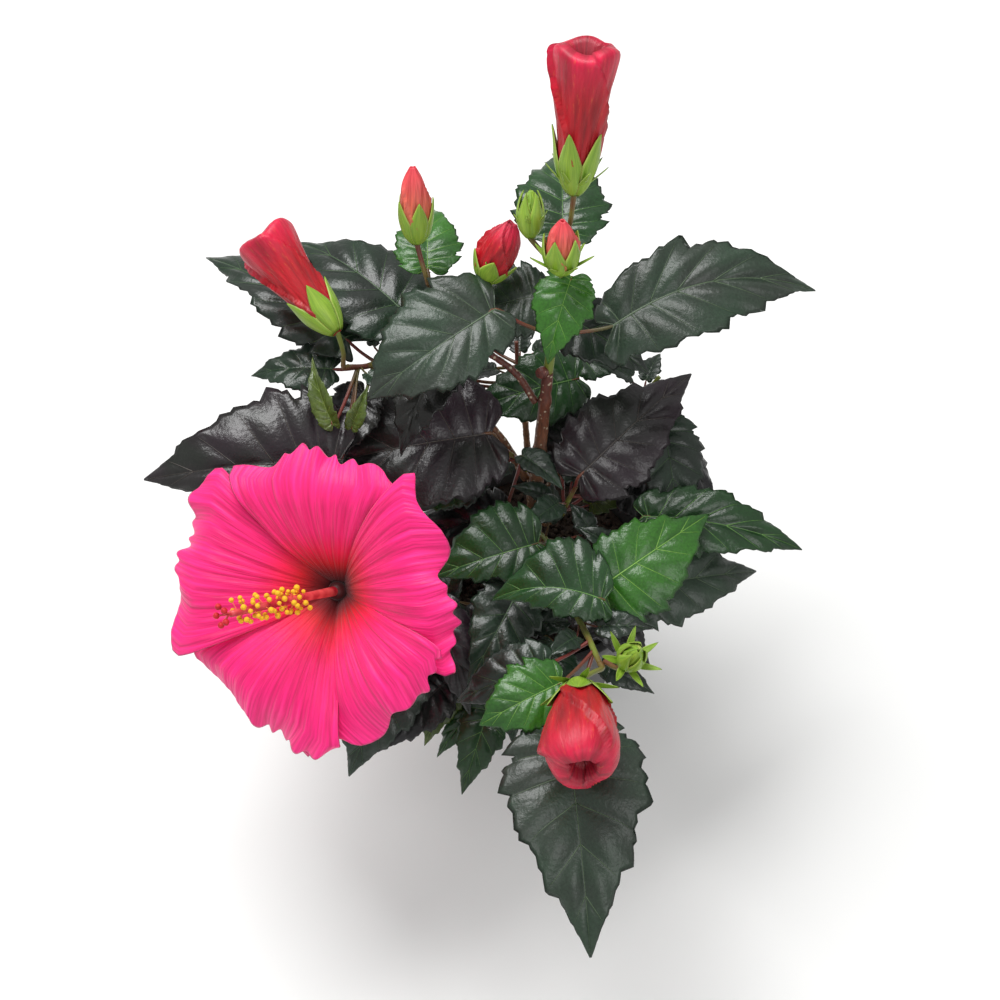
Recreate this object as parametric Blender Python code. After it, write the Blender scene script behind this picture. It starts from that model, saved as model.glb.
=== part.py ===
"""Potted hibiscus: a dark-leaved shrub with a pink bloom and eight buds, in a plain pot.

Metres, +Z up. The origin is the middle of the pot's flat underside, +X is to the right and +Y away
from the onlooker. The tables hold whole millimetres, which MM turns into metres.
"""
import math

import bmesh
import bpy
import numpy as np

MM = 0.001
GAP = 0.3               # clear gap between two solids that meet, in millimetres
MERGE_DISTANCE = 1e-6   # in metres
SEED = 7

# Pot and soil
POT_HEIGHT = 108
POT_TOP_RADIUS = 57
POT_BASE_RADIUS = 43
POT_WALL = 2.2
POT_FLOOR = 3.0
POT_EDGE = 1.2
RIM_HEIGHT = 13
RIM_STEP = 2.6
POT_SIDES = 36
DRAIN_COUNT = 6
DRAIN_RADIUS = 4
DRAIN_RING = 27
DRAIN_SIDES = 10
SOIL_TOP = 98
SOIL_SIDES = 24

# Trunk, from the flat cut at soil level to its tip, with the flare that dies out above the soil
TRUNK = [(0, 0, SOIL_TOP + GAP), (-1, 8, 117), (-1, 15, 138), (0, 20, 162), (2, 29, 190), (4, 37, 222)]
TRUNK_RADII = (4.4, 2.5)
TRUNK_FLARE = 3.6
FLARE_HEIGHT = 8
TRUNK_SIDES = 10
TRUNK_RINGS = 13

# Each limb: what carries it, the share of that one's length where it leaves, its further points,
# and its radius at root and tip. A share of 1 means that it goes on from the tip.
BOUGHS = {
    "bough_left": ("trunk", 0.40, [(-20, 36, 172), (-44, 52, 190), (-64, 56, 202)], (2.2, 1.6)),
    "bough_upper_left": ("trunk", 0.80, [(-12, 42, 216), (-32, 50, 228)], (1.8, 1.4)),
    "bough_right": ("trunk", 0.14, [(14, -4, 130), (30, -22, 146)], (2.1, 1.6)),
    "bough_upper_right": ("trunk", 0.22, [(6, 9, 132), (10, 6, 142)], (1.9, 1.5)),
    "bough_front": ("trunk", 0.08, [(6, -24, 128), (14, -50, 158)], (2.3, 1.7)),
    "bough_bloom": ("trunk", 0.12, [(-18, -8, 124), (-38, -28, 146)], (2.2, 1.6)),
    "bough_back": ("trunk", 0.28, [(-4, 40, 142), (-6, 60, 156)], (2.0, 1.5)),
    "bough_back_right": ("trunk", 0.34, [(18, 34, 148), (36, 46, 162)], (1.9, 1.4)),
}
BOUGH_SIDES = 8
BOUGH_RINGS = 6

SHOOTS = {
    "foliage_crown": ("trunk", 1, [(3, 43, 258), (9, 50, 290), (11, 55, 301)], (2.3, 1.6)),
    "foliage_upper_left": ("bough_upper_left", 1, [(-46, 56, 241), (-50, 62, 255)], (1.4, 1.1)),
    "foliage_left": ("bough_left", 1, [(-80, 50, 208), (-88, 44, 216)], (1.6, 1.2)),
    "foliage_inner_left": ("trunk", 0.47, [(-10, 21, 172), (-17, 22, 180)], (1.3, 1.0)),
    "foliage_upper_right": ("bough_upper_right", 1, [(13, 4, 154), (15, 4, 163), (18, 5, 173)], (1.5, 1.0)),
    "foliage_middle": ("trunk", 0.20, [(4, -6, 142), (5, -18, 156)], (1.4, 1.0)),
    "foliage_right": ("bough_right", 1, [(38, -27, 152), (45, -28, 160)], (1.6, 1.1)),
    "foliage_front": ("bough_front", 1, [(21, -72, 173), (26, -93, 186)], (1.7, 1.2)),
    "foliage_lower_left": ("bough_bloom", 1, [(-46, -44, 150), (-52, -62, 146)], (1.5, 1.0)),
    "foliage_lower_front": ("trunk", 0.07, [(-10, -30, 112), (-24, -64, 118)], (1.6, 1.0)),
    "foliage_back": ("bough_back", 1, [(-9, 74, 168), (-10, 82, 182)], (1.5, 1.0)),
    "foliage_back_right": ("bough_back_right", 1, [(50, 54, 173), (59, 60, 184)], (1.4, 1.0)),
}
SHOOT_SIDES = 6
SHOOT_RINGS = 5
LIMB_POINTS = 41            # points on each limb's middle line
SHOOT_POINTS = 21
LIMB_CHECKS = 30
STALK_CHECKS = 12
STRAIGHT_START = 0.35       # share of its first stretch over which a limb keeps its carrier's direction
PETIOLE_RADIUS = 0.85
PETIOLE_SIDES = 3
PETIOLE_RINGS = 5
PETIOLE_REACH = 0.36        # how far along the outline's parameter a stalk runs into the blade
PETIOLE_BACK = 4            # how many twentieths of the shoot a stalk starts below its blade
PETIOLE_LOWEST = 6
PETIOLE_SAG = 0.06

# The outline of half a blade, as shares of its length: how far along and how far from the midrib
OUTLINE = [(0, 0.012), (-0.07, 0.13), (-0.03, 0.27), (0.11, 0.375), (0.29, 0.40), (0.49, 0.32),
           (0.69, 0.20), (0.86, 0.085), (1, 0.006)]
OUTLINE_WIDTH = 0.8
BLADE_ROWS = (0, 0.13, 0.30, 0.50, 0.72, 1)
BLADE_THICKNESS = 0.012     # share of the blade's length
BLADE_ARCH = 0.10
BLADE_CURL = 0.04


def leaf(base, tip, width=0.62, roll=0, folds=(8, 8), sides=(1, 1), reach=1, bend=0):
    """One leaf blade: foot and tip, width as a share of its length, roll about the midrib in degrees,
    the rise of its left and right half in degrees, how wide each half is, how near the foot its
    widest part lies (over 1) or how far from it (under 1), and the midrib's sideways bow."""
    return dict(base=base, tip=tip, width=width, roll=roll, folds=folds, sides=sides, reach=reach, bend=bend)


LEAVES = {
    "foliage_crown": [
        leaf((-20, 46, 259), (-77, 12, 238), 0.66, 22, (14, 4), (0.9, 1.2), 0.70),
        leaf((33, 46, 246), (127, 70, 240), 0.50, -18, (6, 14), (0.92, 1), 0.82, 0.10),
        leaf((1, 60, 250), (-40, 58, 232), 0.80, 15),
        leaf((9, 66, 228), (52, 45, 208), 0.62, -10),
        leaf((13, 45, 284), (3, 17, 258), 0.70, 0, (25, 5)),
        leaf((10, 75, 274), (10, 130, 266), 0.78, 0, (8, 8), (1.0, 0.95)),
    ],
    "foliage_upper_left": [
        leaf((-51, 75, 250), (-52, 119, 242), 0.68),
        leaf((-56, 65, 218), (-116, 121, 210), 0.62, -5),
    ],
    "foliage_left": [
        leaf((-89, 62, 210), (-163, 121, 198), 0.60, 0, (10, -10), (0.62, 1.2)),
        leaf((-91, 2, 202), (-184, 1, 186), 0.60, 22, (8, 8), (0.85, 1.2)),
        leaf((-96, 48, 208), (-136, 51, 198), 0.62, 5),
        leaf((-94, 14, 213), (-104, 42, 227), 0.35, 30, (35, 35)),
        leaf((-86, 13, 212), (-78, 28, 225), 0.40, -20, (35, 35)),
    ],
    "foliage_inner_left": [
        leaf((-22, 24, 190), (-113, 16, 170), 0.64, 24, (10, 6)),
        leaf((-16, 6, 146), (-67, -4, 128), 0.62, 12),
    ],
    "foliage_upper_right": [
        leaf((19, 6, 180), (74, 59, 188), 0.60, -14, (4, 12)),
        leaf((12, 25, 160), (25, 65, 166), 0.70),
        leaf((33, 23, 148), (76, 40, 150), 0.45, -10),
        leaf((26, 13, 142), (52, 26, 142), 0.60),
    ],
    "foliage_middle": [
        leaf((0, -25, 172), (-51, -37, 160), 0.66, 20, (8, 8), (0.72, 1.35)),
        leaf((25, -12, 160), (15, 1, 164), 0.70),
        leaf((-8, -30, 128), (-40, -70, 112), 0.60),
        leaf((20, -32, 136), (54, -64, 120), 0.62),
    ],
    "foliage_right": [
        leaf((27, -51, 176), (79, -14, 180), 0.62, -18, (8, 8), (0.95, 1.25)),
        leaf((49, -11, 172), (125, -21, 158), 0.44, -18, (8, 8), (0.95, 0.9), 0.85, 0.03),
        leaf((40, -42, 158), (105, -24, 142), 0.58, -20),
    ],
    "foliage_front": [
        leaf((29, -62, 186), (-22, -55, 172), 0.66, 20, (8, 8), (0.72, 1.4), 1, -0.10),
        leaf((9, -104, 190), (-27, -120, 180), 0.80, 14, (8, 8), (0.9, 1), 0.75),
        leaf((11, -124, 182), (21, -211, 140), 0.62, 0, (10, 10), (1.05, 1), 1.12),
        leaf((31, -69, 132), (55, -80, 124), 0.50, -10),
    ],
    "foliage_lower_left": [
        leaf((-48, -48, 156), (-32, -93, 128), 0.46),
        leaf((-64, -70, 146), (-89, -116, 110), 0.60, 10),
        leaf((-43, -76, 130), (-76, -103, 108), 0.55, 10),
        leaf((-39, -74, 124), (-54, -99, 106), 0.50),
    ],
    "foliage_lower_front": [
        leaf((-26, -82, 122), (-48, -104, 104), 0.45),
        leaf((-22, -85, 126), (-36, -122, 102), 0.50, 5),
        leaf((-13, -78, 131), (-12, -103, 117), 0.55),
        leaf((8, -52, 122), (6, -92, 112), 0.55),
    ],
    "foliage_back": [
        leaf((20, 59, 184), (-36, 47, 172), 0.60, 20),
    ],
    "foliage_back_right": [],
}

# Leaves that fill the sides, the back and the inside of the crown: how many each mass gets, the
# middle of the turn that they fan out over in degrees (0 is +X, 90 is +Y), and half of that fan
FILLERS = {
    "foliage_upper_left": (1, 250, 90),
    "foliage_left": (1, 230, 60),
    "foliage_inner_left": (3, 190, 70),
    "foliage_upper_right": (1, 20, 60),
    "foliage_middle": (3, 240, 110),
    "foliage_right": (2, 300, 70),
    "foliage_front": (1, 250, 60),
    "foliage_lower_left": (2, 170, 70),
    "foliage_lower_front": (1, 200, 90),
    "foliage_back": (5, 110, 110),
    "foliage_back_right": (4, 20, 110),
}
FILLER_TRIES = 300
FILLER_LENGTH = (42, 66)
FILLER_PETIOLE = (14, 34)
FILLER_DROP = (0.15, 0.75)
FILLER_STEPS = (4, 20)       # between which of a shoot's points they leave it
FILLER_ROLL = (-15, 15)
LEAF_CLEAR = 5.5            # how near the checked points of two leaves may come
STALK_CLEAR = 3.5
LIMB_CLEAR = 4.5
BLOSSOM_CLEAR = 18
LOWEST_LEAF = 84
GOLDEN_SHARE = 0.618034
CROWN_MIDDLE = (-14, 2, 160)
CROWN_REACH = (112, 116, 95)

# Blossom: what carries it, the share where its stalk leaves, the stalk's points to the calyx
# and the far end of the bud
BUDS = {
    "bud_tall": ("foliage_crown", 1, [(12, 56, 310), (13, 60, 321)], (17, 92, 376)),
    "bud_left": ("foliage_left", 1, [(-90, 45, 226), (-92, 49, 236)], (-127, 89, 256)),
    "bud_front": ("foliage_front", 1, [(22, -101, 193), (16, -107, 197)], (16, -156, 216)),
    "bud_upright": ("foliage_upper_left", 1, [(-53, 68, 264), (-55, 73, 271)], (-56, 91, 302)),
    "bud_red": ("foliage_upper_left", 0.75, [(-38, 57, 250), (-25, 62, 257)], (-13, 77, 281)),
    "bud_green": ("foliage_crown", 0.78, [(2, 52, 289), (-5, 56, 297)], (-5, 68, 314)),
    "bud_pink": ("foliage_crown", 0.80, [(8, 42, 289), (8, 38, 295)], (8, 48, 319)),
    "bud_lime": ("foliage_front", 0.9, [(33, -98, 192), (36, -99, 199)], (41, -101, 216)),
}
# The radius of each bud at shares of its length
FURLED = [(0, 2.0), (0.08, 5.2), (0.22, 8.2), (0.42, 9.2), (0.66, 11.2), (0.86, 13.6), (0.97, 13.8), (1, 9.5)]
PLUMP = [(0, 2.2), (0.10, 7), (0.28, 11.5), (0.55, 15.5), (0.80, 16.2), (0.95, 12.5), (1, 7)]
SHUT = [(0, 1.6), (0.14, 4.9), (0.36, 6.6), (0.58, 6.2), (0.82, 4.4), (1, 1.2)]
SWOLLEN = [(0, 1.6), (0.15, 6), (0.42, 8.6), (0.72, 7.4), (1, 2.2)]
TINY = [(0, 1.3), (0.2, 3.9), (0.5, 4.9), (0.8, 3.3), (1, 0.8)]
BUD_SHAPES = {
    "bud_tall": (FURLED, 1), "bud_left": (FURLED, 1), "bud_front": (PLUMP, 1), "bud_upright": (SHUT, 1),
    "bud_red": (SWOLLEN, 1), "bud_green": (TINY, 1), "bud_pink": (SHUT, 1.05), "bud_lime": (TINY, 1.05),
}
# The narrow bracts under each calyx: how many, how long, and how far they stand off the axis
BRACTS = {
    "bud_tall": (7, 17, 48), "bud_left": (6, 15, 35), "bud_front": (6, 18, 70), "bud_upright": (6, 11, 35),
    "bud_red": (5, 12, 40), "bud_green": (6, 11, 38), "bud_pink": (7, 15, 60), "bud_lime": (7, 15, 62),
    "bloom_open": (7, 17, 55),
}
BRACT_BEND = 0.6            # share of its length at which a bract bends up
BRACT_RISE = 1.5
BRACT_RADII = (1.0, 1.4, 0.4)
BRACT_SEAT = 1.2
BUD_SIDES = 8
STALK_RADIUS = 1.1
STALK_RINGS = 7
BLOOM_STALK_RADIUS = 1.4
BLOOM_STALK_RINGS = 9

# The open bloom
BLOOM_STALK = ("bough_bloom", 0.97, [(-56, -36, 156), (-78, -48, 166), (-90, -56, 177)])
BLOOM_THROAT = (-102, -67, 200)
BLOOM_AXIS = (-0.371, -0.503, 0.780)
BLOOM_DEPTH = 28            # from the calyx to the plane of the rim
PETAL_TURNS = (117, 41, -27, -87, -163)
PETAL_REACH = (62, 66, 66, 66, 72)
PETAL_ROOT = 3.5
PETAL_HALF_WIDTH = 47
PETAL_THICKNESS = 0.9
PETAL_ROWS = 6
PETAL_COLUMNS = 5
CALYX = [(0, 2.4), (0.12, 5.5), (0.45, 7.0), (0.8, 6.4), (1, 4.5)]
CALYX_LENGTH = 24
COLUMN = [(0, 0, -16), (0, 0, 4), (-4, -4, 22), (-12, -12, 41)]   # in the bloom's own frame
COLUMN_RADII = (2.2, 1.4)

COLORS = {
    "pot": (0.060, 0.055, 0.052, 0.45),
    "soil": (0.050, 0.032, 0.022, 0.95),
    "bark": (0.150, 0.052, 0.028, 0.55),
    "leaf": (0.030, 0.058, 0.032, 0.35),
    "bloom": (0.780, 0.020, 0.190, 0.50),
    "bud": (0.600, 0.020, 0.035, 0.50),
}


def spline(a, b, c, d, f):
    """The Catmull-Rom curve between b and c, at share f of the way, with a before and d after them."""
    bend = (2 * a - 5 * b + 4 * c - d) * f ** 2
    return 0.5 * (2 * b + (c - a) * f + bend + (3 * b - a - 3 * c + d) * f ** 3)


def smooth_path(points, count):
    """Evenly spaced points on a smooth curve through the given ones (Catmull-Rom, by its length)."""
    points = np.asarray(points, float)
    padded = np.vstack([2 * points[0] - points[1], points, 2 * points[-1] - points[-2]])
    t = np.linspace(0, len(points) - 1, 40 * len(points))
    index = np.minimum(t.astype(int), len(points) - 2)
    f = (t - index)[:, None]
    a, b, c, d = (padded[index + k] for k in range(4))
    dense = spline(a, b, c, d, f)
    along = np.concatenate([[0], np.cumsum(np.linalg.norm(np.diff(dense, axis=0), axis=1))])
    even = np.linspace(0, along[-1], count)
    return np.stack([np.interp(even, along, dense[:, k]) for k in range(3)], axis=1)


def unit(vector):
    """The vector at length 1."""
    return vector / np.linalg.norm(vector)


def across(axis):
    """Two directions square to an axis and to each other: the first lies level."""
    level = np.cross((0, 0, 1), axis)
    if np.linalg.norm(level) < 1e-3:
        level = np.array((1.0, 0, 0))
    level = unit(level)
    return level, np.cross(axis, level)


def tube(path, radii, sides, tangents=None):
    """Rings of points round a path, as vertices and faces closed by flat ends."""
    tangents = np.gradient(path, axis=0) if tangents is None else tangents
    side, up = across(unit(tangents[0]))
    turns = 2 * math.pi * np.arange(sides) / sides
    rings = []
    for point, tangent, radius in zip(path, tangents, radii):
        side = unit(side - np.dot(side, unit(tangent)) * unit(tangent))
        up = np.cross(unit(tangent), side)
        rings.append(point + radius * (np.cos(turns)[:, None] * side + np.sin(turns)[:, None] * up))
    return np.concatenate(rings), ring_faces(len(path), sides)


def ring_faces(rings, sides):
    """Faces between rings that follow one another, with a flat end at each side."""
    faces = []
    for low in range(0, (rings - 1) * sides, sides):
        for k in range(sides):
            after = (k + 1) % sides
            faces.append((low + k, low + after, low + sides + after, low + sides + k))
    last = (rings - 1) * sides
    return faces + [tuple(range(sides))[::-1], tuple(range(last, last + sides))]


def plate(top, thickness, normal):
    """A grid of points made into a thin closed plate, half its thickness to either side."""
    rows, columns = top.shape[:2]
    lift = np.asarray(normal) * thickness / 2
    points = np.concatenate([(top + lift).reshape(-1, 3), (top - lift).reshape(-1, 3)])
    count = rows * columns
    faces = []
    for r in range(rows - 1):
        for c in range(columns - 1):
            a = r * columns + c
            face = (a, a + 1, a + columns + 1, a + columns)
            faces += [face, tuple(v + count for v in face[::-1])]
    rim = [c for c in range(columns)] + [r * columns + columns - 1 for r in range(1, rows)]
    rim += [(rows - 1) * columns + c for c in range(columns - 2, -1, -1)]
    rim += [r * columns for r in range(rows - 2, 0, -1)]
    faces += [(b, a, a + count, b + count) for a, b in zip(rim, rim[1:] + rim[:1])]
    return points, faces


def limb_path(name, count):
    """The middle line of the trunk, a bough or a shoot, from where it meets what carries it."""
    if name == "trunk":
        return smooth_path(TRUNK, count)
    carrier, share, points = (BOUGHS.get(name) or SHOOTS[name])[:3]
    return smooth_path(seated(carrier, share, points, limb_radii(name)[0]), count)


def limb_radii(name):
    """The radius of a limb at its root and at its tip."""
    return TRUNK_RADII if name == "trunk" else (BOUGHS.get(name) or SHOOTS[name])[3]


def seated(carrier, share, points, radius):
    """The points of a limb or stalk with its seat put before them. From a tip it first keeps the
    tip's direction, so that the two flat ends lie face to face."""
    start = seat(carrier, share, points[0], radius)
    if share < 1:
        return [start] + points
    ahead = unit(np.diff(limb_path(carrier, LIMB_POINTS)[-2:], axis=0)[0])
    return [start, start + ahead * STRAIGHT_START * np.linalg.norm(points[0] - start)] + points


def seat(carrier, share, toward, radius):
    """Where a limb of that radius starts so that its flat root clears its carrier by the gap."""
    path = limb_path(carrier, LIMB_POINTS)
    if share == 1:
        return path[-1] + GAP * unit(path[-1] - path[-2])
    index = int(round(share * (LIMB_POINTS - 1)))
    thick = limb_thickness(carrier, path)[index]
    run = unit(path[index + 1] - path[index - 1])
    out = unit(np.asarray(toward, float) - path[index])
    cosine = abs(float(np.dot(run, out)))
    return path[index] + out * (thick + GAP + radius * cosine) / math.sqrt(1 - cosine ** 2)


def limb_thickness(name, path):
    """The radius at each point of a limb's path. The trunk's foot flares out to the soil."""
    radii = np.linspace(*limb_radii(name), len(path))
    if name == "trunk":
        radii = radii + TRUNK_FLARE * np.exp(-(path[:, 2] - path[0, 2]) / FLARE_HEIGHT)
    return radii


def limb(name, sides, rings):
    """A tapering limb as vertices and faces."""
    path = limb_path(name, LIMB_POINTS)
    at = np.linspace(0, LIMB_POINTS - 1, rings).round().astype(int)
    body = tube(path[at], limb_thickness(name, path)[at], sides, np.gradient(path, axis=0)[at])
    return flat_foot(body, sides) if name == "trunk" else body


def flat_foot(body, sides):
    """The lowest ring laid level, so that the trunk stands on the soil."""
    points, faces = body
    points[:sides, 2] = TRUNK[0][2]
    return points, faces


def outline_at(s):
    """Half of a blade's outline: shares along and across, by a smooth curve through OUTLINE."""
    knots = np.asarray(OUTLINE, float)
    padded = np.vstack([2 * knots[0] - knots[1], knots, 2 * knots[-1] - knots[-2]])
    x = np.clip(s * (len(knots) - 1), 0, len(knots) - 1 - 1e-9)
    index = x.astype(int)
    f = (x - index)[..., None]
    a, b, c, d = (padded[index + k] for k in range(4))
    return spline(a, b, c, d, f)


def blade_frame(blade):
    """The foot, length, and unit vectors along, to the left and up from a leaf blade."""
    base = np.asarray(blade["base"], float)
    run = np.asarray(blade["tip"], float) - base
    along = unit(run)
    up = unit(np.array((0, 0, 1.0)) - along[2] * along)
    left = np.cross(up, along)
    roll = math.radians(blade["roll"])
    normal = up * math.cos(roll) + left * math.sin(roll)
    return base, np.linalg.norm(run), along, left * math.cos(roll) - up * math.sin(roll), normal


def blade_points(blade, s, v):
    """Points of a blade. s runs from foot to tip along the outline, v from the right edge (-1) over
    the midrib (0) to the left edge (1). Each half rises from the midrib and curls down to its edge."""
    s, v = np.meshgrid(np.asarray(s, float), np.asarray(v, float), indexing="ij")
    edge = outline_at(s)
    is_left = v > 0
    half = edge[..., 1] * blade["width"] / OUTLINE_WIDTH * np.where(is_left, *blade["sides"])
    edge_along = np.where(edge[..., 0] > 0, np.abs(edge[..., 0]) ** blade["reach"], edge[..., 0])
    spine = s ** 2.5
    a = spine + np.abs(v) * (edge_along - spine)
    b = v * half
    rise = np.where(is_left, *(math.tan(math.radians(fold)) for fold in blade["folds"]))
    h = BLADE_ARCH * 4 * a * (1 - a) + rise * np.abs(b) - BLADE_CURL * (np.abs(b) / 0.3) ** 2
    b = b + blade["bend"] * 4 * a * (1 - a)
    base, length, along, left, normal = blade_frame(blade)
    return base + length * (a[..., None] * along + b[..., None] * left + h[..., None] * normal)


def blade_solid(blade):
    """A leaf blade as a thin closed plate, folded on its midrib."""
    base, length, along, left, normal = blade_frame(blade)
    return plate(blade_points(blade, BLADE_ROWS, (-1, 0, 1)), length * BLADE_THICKNESS, normal)


def petiole_path(name, blade, count):
    """A leaf's stalk: from inside the shoot, below the point nearest the blade, to the blade's foot."""
    foot, inside = blade_points(blade, (0, PETIOLE_REACH), (0,))[:, 0]
    path = limb_path(name, SHOOT_POINTS)
    index = int(np.argmin(np.linalg.norm(path - foot, axis=1)))
    start = path[min(max(PETIOLE_LOWEST, index - PETIOLE_BACK), 19)]
    sag = PETIOLE_SAG * np.linalg.norm(foot - start)
    middle = start + 0.55 * (foot - start) - np.array((0, 0, sag))
    return smooth_path([start, middle, foot, inside], count)


def petiole(name, blade):
    """A leaf's stalk as a thin closed tube, its ends sunk in the shoot and in the blade."""
    path = petiole_path(name, blade, PETIOLE_RINGS)
    return tube(path, np.linspace(PETIOLE_RADIUS * 1.2, PETIOLE_RADIUS, PETIOLE_RINGS), PETIOLE_SIDES)


def checked_points(blade):
    """The points of a blade that are kept clear of other leaves and of limbs."""
    return blade_points(blade, np.linspace(0, 1, 11), np.linspace(-1, 1, 7)).reshape(-1, 3)


def nearest(points, others):
    """The least distance between two clouds of points."""
    return np.linalg.norm(points[:, None] - others[None], axis=2).min()


def filler(path, turn, chances):
    """A filling leaf: from a share of the shoot it heads out at the turn and droops as chance gives."""
    size, reach, drop, share, roll = chances
    out = between(FILLER_PETIOLE, reach)
    fall = between(FILLER_DROP, drop)
    heading = np.array((math.cos(turn), math.sin(turn), 0))
    start = path[int(between(FILLER_STEPS, share))]
    base = start + heading * out + np.array((0, 0, (0.5 - fall) * out))
    tip = base + between(FILLER_LENGTH, size) * unit(heading - np.array((0, 0, fall)))
    return leaf(tuple(base.round()), tuple(tip.round()), 0.62, round(between(FILLER_ROLL, roll)))


def leaves_space(points):
    """Whether any point lies outside the egg-shaped space that the crown keeps to."""
    return bool((((points - CROWN_MIDDLE) / CROWN_REACH) ** 2).sum(axis=1).max() > 1)


def fill_crown():
    """Adds each mass's filling leaves to its list. They fan out at the golden angle, droop, and are
    skipped where they would leave the crown's space or come near a leaf, limb or bloom."""
    draw = np.random.default_rng(SEED)
    taken = np.concatenate([checked_points(b) for blades in LEAVES.values() for b in blades])
    limbs = {name: limb_path(name, LIMB_CHECKS) for name in ["trunk", *BOUGHS, *SHOOTS]}
    stalks = [petiole_path(name, b, STALK_CHECKS)[3:-3] for name, blades in LEAVES.items() for b in blades]
    buds = np.concatenate([smooth_path([line[-1], end], STALK_CHECKS) for _, _, line, end in BUDS.values()])
    petals = petal_cloud()
    for name, (wanted, middle, spread) in FILLERS.items():
        path = limb_path(name, SHOOT_POINTS)
        others = np.concatenate([line for other, line in limbs.items() if other != name])
        goal = len(LEAVES[name]) + wanted
        for k in range(FILLER_TRIES):
            turn = math.radians(middle + spread * (2 * ((k * GOLDEN_SHARE) % 1) - 1))
            blade = filler(path, turn, draw.uniform(size=5))
            points = checked_points(blade)
            stalk = petiole_path(name, blade, STALK_CHECKS)[4:-3]
            if len(LEAVES[name]) == goal or leaves_space(points) or touches_pot(points):
                continue
            if nearest(points, taken) < LEAF_CLEAR or nearest(stalk, taken) < STALK_CLEAR:
                continue
            if nearest(points, np.concatenate([*limbs.values(), *stalks])) < LIMB_CLEAR:
                continue
            if nearest(stalk[1:], others) < LIMB_CLEAR:
                continue
            if nearest(points, buds) < BLOSSOM_CLEAR or nearest(points, petals) < LEAF_CLEAR:
                continue
            LEAVES[name].append(blade)
            taken = np.concatenate([taken, points])
            stalks.append(stalk)


def between(limits, share):
    """The value at a share of the way between two limits."""
    return limits[0] + share * (limits[1] - limits[0])


def touches_pot(points):
    """Whether points come near the soil, the rim or the floor that the pot stands on."""
    over_pot = np.hypot(points[:, 0], points[:, 1]) < POT_TOP_RADIUS + RIM_STEP + 4
    return bool((points[over_pot, 2] < POT_HEIGHT + 4).any() or points[:, 2].min() < LOWEST_LEAF)


def bloom_frame():
    """The bloom's own directions: level across it, up across it, and along its axis."""
    axis = unit(np.array(BLOOM_AXIS))
    level, up = across(axis)
    return level, up, axis


def petal_points(index, rows, columns):
    """One petal: it climbs steeply out of the calyx, flares flat and rolls back at its round edge.
    One side lies over the next petal."""
    level, up, axis = bloom_frame()
    u, v = np.meshgrid(np.linspace(0, 1, rows), np.linspace(-1, 1, columns), indexing="ij")
    u = u * (1 - 0.14 * v ** 2)
    turn = math.radians(PETAL_TURNS[index])
    out = PETAL_ROOT + (PETAL_REACH[index] - PETAL_ROOT) * u
    half = PETAL_ROOT + PETAL_HALF_WIDTH * np.minimum(u / 0.8, 1) ** 0.9 * (1 - 0.25 * u ** 6)
    height = -BLOOM_DEPTH * (1 - u) ** 2.4 - 9 * np.maximum(u - 0.6, 0) ** 2 / 0.16
    height = height + 3.2 * v * np.minimum(u / 0.3, 1) + 2.0 * (1 - v ** 2) * u
    side = v * half * 0.92
    x = out * math.cos(turn) - side * math.sin(turn)
    y = out * math.sin(turn) + side * math.cos(turn)
    return np.asarray(BLOOM_THROAT) + x[..., None] * level + y[..., None] * up + height[..., None] * axis


def petal_cloud():
    """Points on all the petals, which filling leaves keep clear of."""
    return np.concatenate([petal_points(k, 9, 7).reshape(-1, 3) for k in range(len(PETAL_TURNS))])


def turned(foot, axis, profile, length, sides, scale=1):
    """A body turned about an axis: a ring for each (share of length, radius) of its profile."""
    level, up = across(axis)
    turns = 2 * math.pi * np.arange(sides) / sides
    around = np.cos(turns)[:, None] * level + np.sin(turns)[:, None] * up
    rings = [foot + axis * length * share + radius * scale * around for share, radius in profile]
    return np.concatenate(rings), ring_faces(len(profile), sides)


def bracts(name, foot, axis):
    """The ring of narrow pointed bracts under a calyx."""
    count, length, spread = BRACTS[name]
    level, up = across(axis)
    lean = math.radians(spread)
    solids = []
    for k in range(count):
        turn = 2 * math.pi * (k + 0.3) / count
        out = math.cos(turn) * level + math.sin(turn) * up
        start = foot + axis * BRACT_SEAT + out
        run = out * math.sin(lean) + axis * math.cos(lean)
        path = np.array([start, start + run * length * BRACT_BEND, start + run * length + axis * BRACT_RISE])
        solids.append(tube(path, BRACT_RADII, 4))
    return solids


def bud(name):
    """A bud: its stalk, its ring of bracts, and its body of calyx and furled petals."""
    carrier, share, points, end = BUDS[name]
    foot = np.asarray(points[-1], float)
    length = np.linalg.norm(np.asarray(end) - foot)
    axis = unit(np.asarray(end) - foot)
    stalk = smooth_path(seated(carrier, share, points, STALK_RADIUS) + [foot + axis * 3], STALK_RINGS)
    profile, scale = BUD_SHAPES[name]
    body = turned(foot, axis, profile, length, BUD_SIDES, scale)
    return [body, tube(stalk, np.full(STALK_RINGS, STALK_RADIUS), SHOOT_SIDES), *bracts(name, foot, axis)]


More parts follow.
